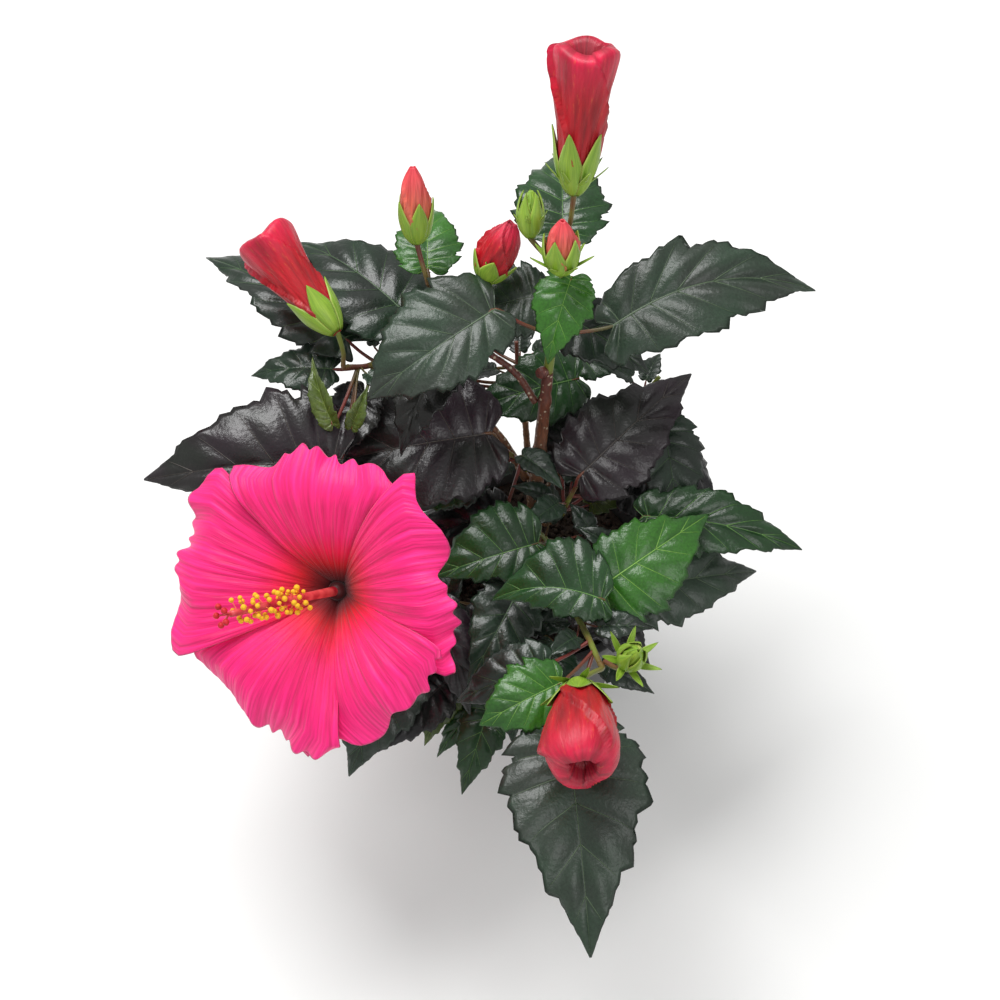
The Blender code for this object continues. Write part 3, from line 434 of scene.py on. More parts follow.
# Ramps as places along a value with the colour or share at each, noises as scale, detail and roughness,
# and the stretch of what a noise reads
PETAL_STOPS = [(0.0, (0.05, 0.0004, 0.002)), (0.09, (0.22, 0.0006, 0.004)), (0.17, (0.56, 0.001, 0.012)),
               (0.27, (0.80, 0.002, 0.060)), (0.42, (0.86, 0.005, 0.145)), (1.0, (0.90, 0.012, 0.205))]
PETAL_TINT = [(0.32, (0.70, 0.55, 0.62)), (0.52, (1, 1, 1)), (0.72, (1.22, 2.6, 1.45))]
# Bud petals along their length: crimson, pink near the mouth, then dark at the middle of the inrolled mouth,
# a painted shade in that hollow
BUD_STOPS = [(0.0, (0.36, 0.006, 0.008)), (0.6, (0.46, 0.002, 0.012)),
             (0.86, (0.60, 0.003, 0.045)), (1.0, (0.16, 0.001, 0.006))]
BUD_SHADE = [(0.3, (0.55, 0.4, 0.5)), (0.62, (1.1, 1.15, 1.15))]
BUD_GOLD = (0.75, 0.22, 0.035)
GOLD_STOPS = [(0.58, 0), (0.74, 0.42)]
BUD_STRETCH = (9, 60, 1)    # how the golden streaks are stretched over the UV map
SHADE_STRETCH = (3, 22, 1)
SHUT_STOPS = [(0.0, (0.20, 0.26, 0.03)), (0.4, (0.55, 0.12, 0.06)),
              (0.75, (0.70, 0.07, 0.08)), (1.0, (0.60, 0.02, 0.05))]
SHUT_TINT = [(0.3, (0.7, 0.6, 0.6)), (0.7, (1.2, 1.5, 1.3))]
SEPAL_EDGE = (0.52, 0.60, 0.14)
SEPAL_FLANK = (0.20, 0.36, 0.025)
SEPAL_STOPS = [(0.0, SEPAL_EDGE), (0.10, SEPAL_FLANK), (0.5, (0.27, 0.42, 0.04)),
               (0.9, SEPAL_FLANK), (1.0, SEPAL_EDGE)]
SEPAL_TINT = [(0.3, (0.62, 0.68, 0.6)), (0.7, (1.2, 1.15, 1.2))]
COLUMN_GRAIN = (160, 2)
COLUMN_STOPS = [(0.35, (0.42, 0.006, 0.02)), (0.65, (0.75, 0.10, 0.10))]
BARK_STOPS = [(0.0, (0.16, 0.085, 0.03)), (0.45, (0.15, 0.06, 0.022)),
              (0.8, (0.10, 0.022, 0.014)), (1.0, (0.09, 0.02, 0.016))]
BARK_TINT = [(0.3, (0.6, 0.6, 0.6)), (0.7, (1.35, 1.3, 1.2))]
BARK_RANGE = (0.10, 0.25)   # heights in metres between which the bark's colour changes
BARK_STRETCH = (900, 900, 120)
PORE_SCALE = 330
PORE_STOPS = [(0.16, 1), (0.26, 0)]
PORE_COLOR = (0.42, 0.34, 0.24)
POT_SCUFFS = (30, 4)
POT_DULL = [(0.3, 0.38), (0.7, 0.55)]
POT_PEBBLES = (2200, 2)
POT_STOPS = [(0.3, (0.030, 0.030, 0.031)), (0.7, (0.050, 0.049, 0.047))]
SOIL_GRAIN = (420, 6, 0.7)
SOIL_FIBRES = (1300, 5, 0.7)
SOIL_STOPS = [(0.3, (0.012, 0.007, 0.005)), (0.55, (0.045, 0.027, 0.017)), (0.78, (0.13, 0.085, 0.05))]
FLOOR_COLOR = (0.88, 0.88, 0.87)
GRAIN_DARK = 0.72           # what a plain colour's grain multiplies it by
GRAIN_LIGHT = 1.15

# Plain finishes: colour, roughness, scale of the grain, strength of its relief
PLAIN = {
    "stigma_red": ((0.55, 0.004, 0.012), 0.6, 900, 0.3),
    "pollen": ((0.86, 0.47, 0.012), 0.8, 1500, 0.5),
    "thread": ((0.80, 0.16, 0.06), 0.5, 900, 0.1),
}
FINE_CELLS = (1500, 2)      # scale and detail of the relief of shoots and stalks
# Patchy finishes: scale and detail of the patches, between which values one colour goes over into the
# other, the two colours, and roughness. Young shoots are green flushed with red-brown, leaf stalks are
# dark red that goes over into olive.
PATCHY = {
    "young_shoot": (45, 2, (0.42, 0.6), (0.16, 0.20, 0.03), (0.13, 0.035, 0.018), 0.42),
    "leaf_stalk": (30, 1, (0.4, 0.62), (0.15, 0.022, 0.016), (0.085, 0.075, 0.02), 0.4),
}
# Streaked finishes: which way over the UV map the colours run, the colours, the stretch, detail and
# roughness of the streaks and the tint that they give, then roughness, strength and depth of relief.
# Petals are hot pink out of a dark red throat, shut buds salmon over pale green, and sepals and bracts
# lime green, paler at their edges.
STREAKED = {
    "pink_petal": ("X", PETAL_STOPS, (2.2, 46, 1), 4, 0.55, PETAL_TINT, 0.5, 0.65, 0.0012),
    "shut_bud": ("X", SHUT_STOPS, (2, 40, 1), 3, 0.5, SHUT_TINT, 0.45, 0.4, 0.0005),
    "lime_sepal": ("Y", SEPAL_STOPS, (2, 26, 1), 2, 0.5, SEPAL_TINT, 0.42, 0.35, 0.0005),
}

# Camera, which stands and looks as the photo's did, floor and lights
CAMERA_ELEVATION = 60
CAMERA_DISTANCE = 0.85
CAMERA_TARGET = (-0.018, -0.018, 0.200)
FOCAL_PIXELS = 1870
PICTURE_WIDTH = 1000
SENSOR = 36
FLOOR = 3.0
FLOOR_LEVEL = -0.0004
WORLD_STRENGTH = 0.55
LIGHTS = [("overhead", (-0.35, 0.45, 1.30), 17, 0.7), ("front", (0.60, -1.10, 1.20), 6, 0.8)]
LIGHT_TARGET = (0, 0, 0.2)


def spline(a, b, c, d, f):
    """The Catmull-Rom curve between b and c, at share f of the way, with a before and d after them."""
    bend = (2 * a - 5 * b + 4 * c - d) * f ** 2
    return 0.5 * (2 * b + (c - a) * f + bend + (3 * b - a - 3 * c + d) * f ** 3)


def smooth_path(points, count):
    """Evenly spaced points on a smooth curve through the given ones (Catmull-Rom, by its length)."""
    points = np.asarray(points, float)
    padded = np.vstack([2 * points[0] - points[1], points, 2 * points[-1] - points[-2]])
    t = np.linspace(0, len(points) - 1, 40 * len(points))
    index = np.minimum(t.astype(int), len(points) - 2)
    f = (t - index)[:, None]
    a, b, c, d = (padded[index + k] for k in range(4))
    dense = spline(a, b, c, d, f)
    along = np.concatenate([[0], np.cumsum(np.linalg.norm(np.diff(dense, axis=0), axis=1))])
    even = np.linspace(0, along[-1], count)
    return np.stack([np.interp(even, along, dense[:, k]) for k in range(3)], axis=1)


def unit(vector):
    """The vector at length 1."""
    return vector / np.linalg.norm(vector)


def across(axis):
    """Two directions square to an axis and to each other: the first lies level."""
    level = np.cross((0, 0, 1), axis)
    if np.linalg.norm(level) < 1e-3:
        level = np.array((1.0, 0, 0))
    level = unit(level)
    return level, np.cross(axis, level)


def limb_path(name, count):
    """The middle line of the trunk, a bough or a shoot, from where it meets what carries it."""
    if name == "trunk":
        return smooth_path(TRUNK, count)
    carrier, share, points = (BOUGHS.get(name) or SHOOTS[name])[:3]
    return smooth_path(seated(carrier, share, points, limb_radii(name)[0]), count)


def limb_radii(name):
    """The radius of a limb at its root and at its tip."""
    return TRUNK_RADII if name == "trunk" else (BOUGHS.get(name) or SHOOTS[name])[3]


def seated(carrier, share, points, radius):
    """The points of a limb or stalk with its seat put before them. From a tip it first keeps the
    tip's direction, so that the two flat ends lie face to face."""
    start = seat(carrier, share, points[0], radius)
    if share < 1:
        return [start] + points
    ahead = unit(np.diff(limb_path(carrier, LIMB_POINTS)[-2:], axis=0)[0])
    return [start, start + ahead * STRAIGHT_START * np.linalg.norm(points[0] - start)] + points


def seat(carrier, share, toward, radius):
    """Where a limb of that radius starts so that its flat root clears its carrier by the gap."""
    path = limb_path(carrier, LIMB_POINTS)
    if share == 1:
        return path[-1] + GAP * unit(path[-1] - path[-2])
    index = int(round(share * (LIMB_POINTS - 1)))
    thick = limb_thickness(carrier, path)[index]
    run = unit(path[index + 1] - path[index - 1])
    out = unit(np.asarray(toward, float) - path[index])
    cosine = abs(float(np.dot(run, out)))
    return path[index] + out * (thick + GAP + radius * cosine) / math.sqrt(1 - cosine ** 2)


def limb_thickness(name, path):
    """The radius at each point of a limb's path. The trunk's foot flares out to the soil."""
    radii = np.linspace(*limb_radii(name), len(path))
    if name == "trunk":
        radii = radii + TRUNK_FLARE * np.exp(-(path[:, 2] - path[0, 2]) / FLARE_HEIGHT)
    return radii


def outline_at(s):
    """Half of a blade's outline: shares along and across, by a smooth curve through OUTLINE."""
    knots = np.asarray(OUTLINE, float)
    padded = np.vstack([2 * knots[0] - knots[1], knots, 2 * knots[-1] - knots[-2]])
    x = np.clip(s * (len(knots) - 1), 0, len(knots) - 1 - 1e-9)
    index = x.astype(int)
    f = (x - index)[..., None]
    a, b, c, d = (padded[index + k] for k in range(4))
    return spline(a, b, c, d, f)


def blade_frame(blade):
    """The foot, length, and unit vectors along, to the left and up from a leaf blade."""
    base = np.asarray(blade["base"], float)
    run = np.asarray(blade["tip"], float) - base
    along = unit(run)
    up = unit(np.array((0, 0, 1.0)) - along[2] * along)
    left = np.cross(up, along)
    roll = math.radians(blade["roll"])
    normal = up * math.cos(roll) + left * math.sin(roll)
    return base, np.linalg.norm(run), along, left * math.cos(roll) - up * math.sin(roll), normal


def blade_points(blade, s, v):
    """Points of a blade. s runs from foot to tip along the outline, v from the right edge (-1) over
    the midrib (0) to the left edge (1). Each half rises from the midrib and curls down to its edge."""
    s, v = np.meshgrid(np.asarray(s, float), np.asarray(v, float), indexing="ij")
    edge = outline_at(s)
    is_left = v > 0
    half = edge[..., 1] * blade["width"] / OUTLINE_WIDTH * np.where(is_left, *blade["sides"])
    edge_along = np.where(edge[..., 0] > 0, np.abs(edge[..., 0]) ** blade["reach"], edge[..., 0])
    spine = s ** 2.5
    a = spine + np.abs(v) * (edge_along - spine)
    b = v * half
    rise = np.where(is_left, *(math.tan(math.radians(fold)) for fold in blade["folds"]))
    h = BLADE_ARCH * 4 * a * (1 - a) + rise * np.abs(b) - BLADE_CURL * (np.abs(b) / 0.3) ** 2
    b = b + blade["bend"] * 4 * a * (1 - a)
    base, length, along, left, normal = blade_frame(blade)
    return base + length * (a[..., None] * along + b[..., None] * left + h[..., None] * normal)


def petiole_path(name, blade, count):
    """A leaf's stalk: from inside the shoot, below the point nearest the blade, to the blade's foot."""
    foot, inside = blade_points(blade, (0, PETIOLE_REACH), (0,))[:, 0]
    path = limb_path(name, SHOOT_POINTS)
    index = int(np.argmin(np.linalg.norm(path - foot, axis=1)))
    start = path[min(max(PETIOLE_LOWEST, index - PETIOLE_BACK), 19)]
    sag = PETIOLE_SAG * np.linalg.norm(foot - start)
    middle = start + 0.55 * (foot - start) - np.array((0, 0, sag))
    return smooth_path([start, middle, foot, inside], count)


def checked_points(blade):
    """The points of a blade that are kept clear of other leaves and of limbs."""
    return blade_points(blade, np.linspace(0, 1, 11), np.linspace(-1, 1, 7)).reshape(-1, 3)


def nearest(points, others):
    """The least distance between two clouds of points."""
    return np.linalg.norm(points[:, None] - others[None], axis=2).min()


def leaf_cloud():
    """The checked points of all the leaves so far."""
    return np.concatenate([checked_points(b) for blades in LEAVES.values() for b in blades])


def bud_cloud():
    """Points along the axes of all the buds, which leaves keep clear of."""
    return np.concatenate([smooth_path([line[-1], end], STALK_CHECKS) for _, _, line, end in BUDS.values()])


def filler(path, turn, chances):
    """A filling leaf: from a share of the shoot it heads out at the turn and droops as chance gives."""
    size, reach, drop, share, roll = chances
    out = between(FILLER_PETIOLE, reach)
    fall = between(FILLER_DROP, drop)
    heading = np.array((math.cos(turn), math.sin(turn), 0))
    start = path[int(between(FILLER_STEPS, share))]
    base = start + heading * out + np.array((0, 0, (0.5 - fall) * out))
    tip = base + between(FILLER_LENGTH, size) * unit(heading - np.array((0, 0, fall)))
    return leaf(tuple(base.round()), tuple(tip.round()), 0.62, round(between(FILLER_ROLL, roll)))


def leaves_space(points):
    """Whether any point lies outside the egg-shaped space that the crown keeps to."""
    return bool((((points - CROWN_MIDDLE) / CROWN_REACH) ** 2).sum(axis=1).max() > 1)


def fill_crown():
    """Adds each mass's filling leaves to its list. They fan out at the golden angle, droop, and are
    skipped where they would leave the crown's space or come near a leaf, limb or bloom."""
    draw = np.random.default_rng(SEED)
    taken, buds, petals = leaf_cloud(), bud_cloud(), petal_cloud()
    limbs = {name: limb_path(name, LIMB_CHECKS) for name in ["trunk", *BOUGHS, *SHOOTS]}
    stalks = [petiole_path(name, b, STALK_CHECKS)[3:-3] for name, blades in LEAVES.items() for b in blades]
    for name, (wanted, middle, spread) in FILLERS.items():
        path = limb_path(name, SHOOT_POINTS)
        others = np.concatenate([line for other, line in limbs.items() if other != name])
        goal = len(LEAVES[name]) + wanted
        for k in range(FILLER_TRIES):
            turn = math.radians(middle + spread * (2 * ((k * GOLDEN_SHARE) % 1) - 1))
            blade = filler(path, turn, draw.uniform(size=5))
            points = checked_points(blade)
            stalk = petiole_path(name, blade, STALK_CHECKS)[4:-3]
            if len(LEAVES[name]) == goal or leaves_space(points) or touches_pot(points):
                continue
            if nearest(points, taken) < LEAF_CLEAR or nearest(stalk, taken) < STALK_CLEAR:
                continue
            if nearest(points, np.concatenate([*limbs.values(), *stalks])) < LIMB_CLEAR:
                continue
            if nearest(stalk[1:], others) < LIMB_CLEAR:
                continue
            if nearest(points, buds) < BLOSSOM_CLEAR or nearest(points, petals) < LEAF_CLEAR:
                continue
            LEAVES[name].append(blade)
            taken = np.concatenate([taken, points])
            stalks.append(stalk)


def between(limits, share):
    """The value at a share of the way between two limits."""
    return limits[0] + share * (limits[1] - limits[0])


def touches_pot(points):
    """Whether points come near the soil, the rim or the floor that the pot stands on."""
    over_pot = np.hypot(points[:, 0], points[:, 1]) < POT_TOP_RADIUS + RIM_STEP + 4
    return bool((points[over_pot, 2] < POT_HEIGHT + 4).any() or points[:, 2].min() < LOWEST_LEAF)


def bloom_frame():
    """The bloom's own directions: level across it, up across it, and along its axis."""
    axis = unit(np.array(BLOOM_AXIS))
    level, up = across(axis)
    return level, up, axis


def petal_points(index, rows, columns):
    """One petal: it climbs steeply out of the calyx, flares flat and rolls back at its round edge.
    One side lies over the next petal."""
    level, up, axis = bloom_frame()
    u, v = np.meshgrid(np.linspace(0, 1, rows), np.linspace(-1, 1, columns), indexing="ij")
    u = u * (1 - 0.14 * v ** 2)
    turn = math.radians(PETAL_TURNS[index])
    out = PETAL_ROOT + (PETAL_REACH[index] - PETAL_ROOT) * u
    half = PETAL_ROOT + PETAL_HALF_WIDTH * np.minimum(u / 0.8, 1) ** 0.9 * (1 - 0.25 * u ** 6)
    height = -BLOOM_DEPTH * (1 - u) ** 2.4 - 9 * np.maximum(u - 0.6, 0) ** 2 / 0.16
    height = height + 3.2 * v * np.minimum(u / 0.3, 1) + 2.0 * (1 - v ** 2) * u
    side = v * half * 0.92
    x = out * math.cos(turn) - side * math.sin(turn)
    y = out * math.sin(turn) + side * math.cos(turn)
    return np.asarray(BLOOM_THROAT) + x[..., None] * level + y[..., None] * up + height[..., None] * axis


def petal_cloud():
    """Points on all the petals, which filling leaves keep clear of."""
    return np.concatenate([petal_points(k, 9, 7).reshape(-1, 3) for k in range(len(PETAL_TURNS))])


def pot_wall_radius(z, inner=False):
    """The radius of the pot's tapering wall at a height."""
    outer = POT_BASE_RADIUS + (POT_TOP_RADIUS - POT_BASE_RADIUS) * z / POT_HEIGHT
    return outer - POT_WALL if inner else outer


def grow_young():
    """Adds small young leaves near the tips of the shoots by the same rule, skipped where they would
    come near another leaf, a limb or a bloom."""
    draw = np.random.default_rng(SEED + 5)
    taken, buds, petals = leaf_cloud(), bud_cloud(), petal_cloud()
    limbs = np.concatenate([limb_path(name, LIMB_CHECKS) for name in ["trunk", *BOUGHS]])
    for name in SHOOTS:
        path = limb_path(name, SHOOT_POINTS)
        goal = len(LEAVES[name]) + YOUNG_WANTED
        for k in range(YOUNG_TRIES):
            turn = 2 * math.pi * ((k * GOLDEN_SHARE) % 1)
            size, reach, rise, share, roll = draw.uniform(size=5)
            heading = np.array((math.cos(turn), math.sin(turn), 0))
            start = path[int(between(YOUNG_STEPS, share))]
            base = start + heading * between(YOUNG_PETIOLE, reach) + (0, 0, YOUNG_LIFT * rise)
            tip = base + between(YOUNG_LENGTH, size) * unit(heading + (0, 0, between(YOUNG_SLOPE, rise)))
            blade = leaf(tuple(base), tuple(tip), YOUNG_WIDTH, between(YOUNG_ROLL, roll), YOUNG_FOLDS)
            points = checked_points(blade)
            if len(LEAVES[name]) == goal or leaves_space(points) or touches_pot(points):
                continue
            if nearest(points, taken) < YOUNG_CLEAR or nearest(points, limbs) < LIMB_CLEAR:
                continue
            if nearest(points, petals) < LEAF_CLEAR or nearest(points, buds) < YOUNG_BUD_CLEAR:
                continue
            LEAVES[name].append(blade)
            taken = np.concatenate([taken, points])


# What follows is the finer surface that only this script makes

class Heap:
    """The points and four-sided faces of one piece, gathered in millimetres from many surfaces."""

    def __init__(self):
        self.points = []
        self.quads = []
        self.places = []
        self.count = 0

    def add(self, grid, places=None, wrap=True):
        """Adds a grid of points as a surface. wrap joins its last column to its first."""
        rows, columns = grid.shape[:2]
        index = np.arange(rows * columns).reshape(rows, columns) + self.count
        if wrap:
            index = np.concatenate([index, index[:, :1]], axis=1)
        corners = [index[:-1, :-1], index[:-1, 1:], index[1:, 1:], index[1:, :-1]]
        self.quads.append(np.stack(corners, axis=-1).reshape(-1, 4))
        self.points.append(grid.reshape(-1, 3))
        self.places.append(np.zeros((rows * columns, 2)) if places is None else places.reshape(-1, 2))
        self.count += rows * columns

    def piece(self, name, finish, slot=None, nodes=()):
        """One smooth mesh object of all the surfaces, welded where they meet, riding on the plant."""
        mesh = bpy.data.meshes.new(name)
        points = np.concatenate(self.points) * MM
        quads = np.concatenate(self.quads)
        places = np.concatenate(self.places)
        mesh.vertices.add(len(points))
        mesh.vertices.foreach_set("co", points.astype(np.float32).ravel())
        mesh.loops.add(quads.size)
        mesh.loops.foreach_set("vertex_index", quads.astype(np.int32).ravel())
        mesh.polygons.add(len(quads))
        mesh.polygons.foreach_set("loop_start", np.arange(0, quads.size, 4, dtype=np.int32))
        uv = mesh.uv_layers.new(name="UVMap")
        uv.data.foreach_set("uv", places[quads.ravel()].astype(np.float32).ravel())
        mesh.update(calc_edges=True)
        work = bmesh.new()
        work.from_mesh(mesh)
        bmesh.ops.remove_doubles(work, verts=work.verts, dist=WELD)
        bmesh.ops.recalc_face_normals(work, faces=work.faces)
        work.to_mesh(mesh)
        work.free()
        mesh.polygons.foreach_set("use_smooth", np.ones(len(mesh.polygons), bool))
        mesh.materials.append(finish)
        thing = bpy.data.objects.new(name, mesh)
        bpy.context.scene.collection.objects.link(thing)
        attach(thing, "root")
        if nodes:
            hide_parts(*nodes)
        return thing


def units(vectors):
    """Each vector of an array at length 1."""
    return vectors / np.maximum(np.linalg.norm(vectors, axis=-1, keepdims=True), 1e-12)


def spoke(first, second, turn):
    """The direction at a turn from the first of two square directions to the second, for each turn."""
    turn = np.asarray(turn)[..., None]
    return np.cos(turn) * first + np.sin(turn) * second


def patch(rows, columns):
    """Shares along (0 to 1) and across (-1 to 1) at each point of a grid."""
    return np.meshgrid(np.linspace(0, 1, rows), np.linspace(-1, 1, columns), indexing="ij")


def full_turn(count):
    """Evenly spaced turns once round, the last one short of the first."""
    return 2 * math.pi * np.arange(count) / count


def rings(path, radii, sides, flat=1):
    """Rings of points round a path, square to it, closed by a pole at each end. flat squeezes them."""
    path = np.asarray(path, float)
    tangents = units(np.gradient(path, axis=0))
    guide = np.eye(3)[np.argmin(np.abs(tangents).mean(axis=0))]
    side = units(np.cross(guide, tangents))
    up = flat * np.cross(tangents, side)
    radii = np.broadcast_to(radii, len(path))[:, None, None]
    body = path[:, None] + radii * spoke(side[:, None], up[:, None], full_turn(sides))
    ends = [np.repeat(path[k][None, None], sides, axis=1) for k in (0, -1)]
    return np.concatenate([ends[0], body, ends[1]])


def plate(heap, grid, direction, thickness, u, w):
    """A surface made into a thin closed body: its thickness falls off to its sides and ends as
    sqrt((1 - across^2)(1 - along^8)), and u and w are its shares along and across."""
    rows, columns = grid.shape[:2]
    s, v = np.meshgrid(np.linspace(-1, 1, rows), np.linspace(-1, 1, columns), indexing="ij")
    lift = thickness / 2 * np.sqrt(np.clip((1 - v ** 2) * (1 - s ** 8), 0, 1))
    lift = lift[..., None] * direction
    loop = np.concatenate([grid + lift, (grid - lift)[:, ::-1]], axis=1)
    places = np.stack([u, w / 2 + 0.5], axis=-1)
    heap.add(loop, np.concatenate([places, places[:, ::-1]], axis=1))


def lump(heap, middle, radius, sides):
    """A small round body, its poles closed, as a grid of heights and turns."""
    rise = np.linspace(-math.pi / 2, math.pi / 2, max(5, sides // 2 + 1))[:, None]
    turns = full_turn(sides)[None]
    ball = [np.cos(rise) * np.cos(turns), np.cos(rise) * np.sin(turns), np.sin(rise) + 0 * turns]
    heap.add(np.asarray(middle) + radius * np.stack(ball, axis=-1))


def is_small(blade):
    """Whether a leaf is a small young one."""
    return np.linalg.norm(np.subtract(blade["tip"], blade["base"])) < SMALL_LEAF


def toothed(s, shift):
    """Forward teeth along a leaf's edge: each rises slowly and falls at once; none near foot or tip."""
    share = (s * TEETH + shift) % 1
    fade = np.clip((s - TEETH_START) / TEETH_GROW, 0, 1) * np.clip((1 - s) / TEETH_END, 0, 1)
    lobes = 0.65 + 0.35 * np.sin(5.1 * s * math.pi + 4 * shift)
    small = (s * TEETH * 2.6 + 2 * shift) % 1 - 0.5
    return TOOTH_DEPTH * fade * (lobes * (share ** 1.4 - 0.45) + 0.26 * small)


def fine_blade(blade, s, v, phase):
    """The blade with its teeth, wavy edge, and the swellings between the sunken side veins. Teeth move
    a point out and forward, by the fifth power of its share across. Swellings rise along the normal as
    an arch between two veins, by the sine of the share across, and so do two waves near the edge."""
    grid = blade_points(blade, s, v)
    _, length, along, left, normal = blade_frame(blade)
    s, v = np.meshgrid(s, v, indexing="ij")
    tooth = toothed(s, phase + 0.4 * (v > 0)) * np.abs(v) ** 5
    jut = tooth * outline_at(s)[..., 1] * blade["width"] / OUTLINE_WIDTH * np.sign(v)
    vein = 1 - np.abs(2 * ((s * VEINS) % 1) - 1)
    swell = PUCKER * (1 - (1 - vein) ** 2) * np.sin(math.pi * np.minimum(np.abs(v) * 1.05, 1)) * (s < 0.97)
    wave = sum(high * np.sin(2 * math.pi * (waves * s + own * phase) + offset * (v > 0)) * np.abs(v) ** power
               for high, waves, own, offset, power in EDGE_WAVES)
    rise = np.minimum(1, 5 * np.minimum(s, 1 - s)) * (swell + wave)
    moves = [(jut, left), (0.8 * np.abs(jut), along), (rise, normal)]
    return grid + length * sum(share[..., None] * way for share, way in moves)


def add_leaf(blades, veins, blade, phase):
    """One leaf, with its midrib and side veins as thin raised ribs that taper along lines of the blade."""
    rows, columns = SMALL_GRID if is_small(blade) else LEAF_GRID
    s = np.linspace(0, 1, rows)
    v = np.linspace(-1, 1, columns)
    _, length, _, _, normal = blade_frame(blade)
    plate(blades, fine_blade(blade, s, v, phase), normal, LEAF_THICKNESS, *np.meshgrid(s, v, indexing="ij"))
    lift = normal * LEAF_THICKNESS * VEIN_LIFT
    spine = fine_blade(blade, np.linspace(0, MIDRIB_END, MIDRIB_RINGS), np.zeros(1), phase)[:, 0]
    veins.add(rings(spine + lift, np.linspace(*MIDRIB, MIDRIB_RINGS) * length, 6, RIB_FLAT))
    for k in range(1, VEINS):
        thick = (LOW_VEIN if k < LOW_VEINS else HIGH_VEIN) * length
        for side in (-1, 1):
            across_it = side * np.linspace(*VEIN_SPAN, VEIN_RINGS)
            out = fine_blade(blade, np.array([k / VEINS]), across_it, phase)[0]
            veins.add(rings(out + lift, np.linspace(thick, VEIN_TAPER * thick, VEIN_RINGS), 4, RIB_FLAT))


def tone_of(name, index, blade, draw):
    """The tone of a leaf: the noted ones by the photo, young ones dark, the others as they are dealt."""
    noted = TONES.get(name, ())
    if index < len(noted):
        return noted[index]
    return "dark" if is_small(blade) else str(draw.choice(DEALT_TONES))


def add_leaves():
    """All the leaves, joined by tone, and their veins."""
    draw = np.random.default_rng(SEED + 1)
    blades = {tone: Heap() for tone in LEAF_COLORS}
    veins = {tone: Heap() for tone in LEAF_COLORS}
    for name, found in LEAVES.items():
        for index, blade in enumerate(found):
            tone = tone_of(name, index, blade, draw)
            add_leaf(blades[tone], veins[tone], blade, draw.uniform())
    for tone, heap in blades.items():
        if heap.count:
            heap.piece("leaves_" + tone, leaf_finish(tone), "leaf")
            veins[tone].piece("veins_" + tone, vein_finish(tone), "leaf")


def add_stems():
    """Trunk, boughs and shoots with their bark's relief, and the leaf stalks."""
    bark, twigs, stalks = Heap(), Heap(), Heap()
    step = np.arange(STEM_RINGS)
    ripple = sum(high * np.sin(turn * step) for high, turn in BARK_RIPPLES)
    nodes = NODE_RISE * np.exp(-((step % NODE_STEP - NODE_STEP / 2) / 1.6) ** 2)
    for name in ["trunk", *BOUGHS]:
        path = limb_path(name, STEM_RINGS)
        body = rings(path, limb_thickness(name, path) + ripple + nodes * (name == "trunk"), STEM_SIDES)
        if name == "trunk":
            body[:2, :, 2] = TRUNK[0][2]
        bark.add(body)
    bark.add(rings(smooth_path(CUT_STUB, 8), CUT_STUB_RADIUS, 16))
    bark.piece("bark", bark_finish(), "bark", ["trunk", *BOUGHS])
    for name in SHOOTS:
        path = limb_path(name, STEM_RINGS)
        twigs.add(rings(path, limb_thickness(name, path) * TWIG_SWELL, STEM_SIDES))
    twigs.piece("shoots", patchy_finish("young_shoot"), "bark", list(SHOOTS))
    step = np.arange(PETIOLE_FINE_RINGS)
    swell = (1 + 0.35 * np.exp(-step / 2)) * np.clip((PETIOLE_FINE_RINGS - 1 - step) / 5, 0.28, 1)
    for name, found in LEAVES.items():
        for blade in found:
            thick = PETIOLE_RADIUS * (YOUNG_STALK if is_small(blade) else 1)
            stalks.add(rings(petiole_path(name, blade, PETIOLE_FINE_RINGS), thick * swell, 8))
    stalks.piece("leaf_stalks", patchy_finish("leaf_stalk"), "leaf")


def rim_waves(table, u, v, shift):
    """The sum of a table's waves over a petal: each is a sine over its breadth, pushed aside by a slower
    one, and dies out from the rim inwards by a power of the share along it."""
    return sum(high * np.sin(waves * v + start + own * shift + sway * np.sin(slow * v + shift)) * u ** power
               for high, waves, start, own, sway, slow, power in table)


def add_petals():
    """The open bloom's petals. Waves of the rim, one along each side, folds and fine ribs lift a petal
    along the bloom's axis, and other waves of the rim draw it out from the throat or in."""
    axis = bloom_frame()[2]
    throat = np.asarray(BLOOM_THROAT, float)
    petals = Heap()
    u, v = patch(PETAL_GRID, PETAL_GRID)
    for k in range(len(PETAL_TURNS)):
        grid = petal_points(k, PETAL_GRID, PETAL_GRID)
        shift = PETAL_SHIFT * k
        side = PETAL_SIDE_WAVE * np.sin(11 * u + shift) * v ** 4 * u
        fold = PETAL_FOLD * np.cos(26 * v + 3 * u) * np.minimum(1, 3 * u) * (1 - 0.5 * u)
        rib = PETAL_RIB * np.cos(61 * v + 5 * u + shift) * np.minimum(1, 4 * u)
        lift = rim_waves(RIM_LIFTS, u, v, shift) + side + fold + rib
        reach = rim_waves(RIM_REACHES, u, v, shift)
        grid = grid + lift[..., None] * axis + reach[..., None] * units(grid - throat)
        plate(petals, grid, axis, PETAL_FINE_THICKNESS, u, v)
    lump(petals, throat - axis * (BLOOM_DEPTH - 1), PETAL_ROOT + 1, 16)
    petals.piece("bloom_petals", petal_finish(), "petal", ["bloom_open"])


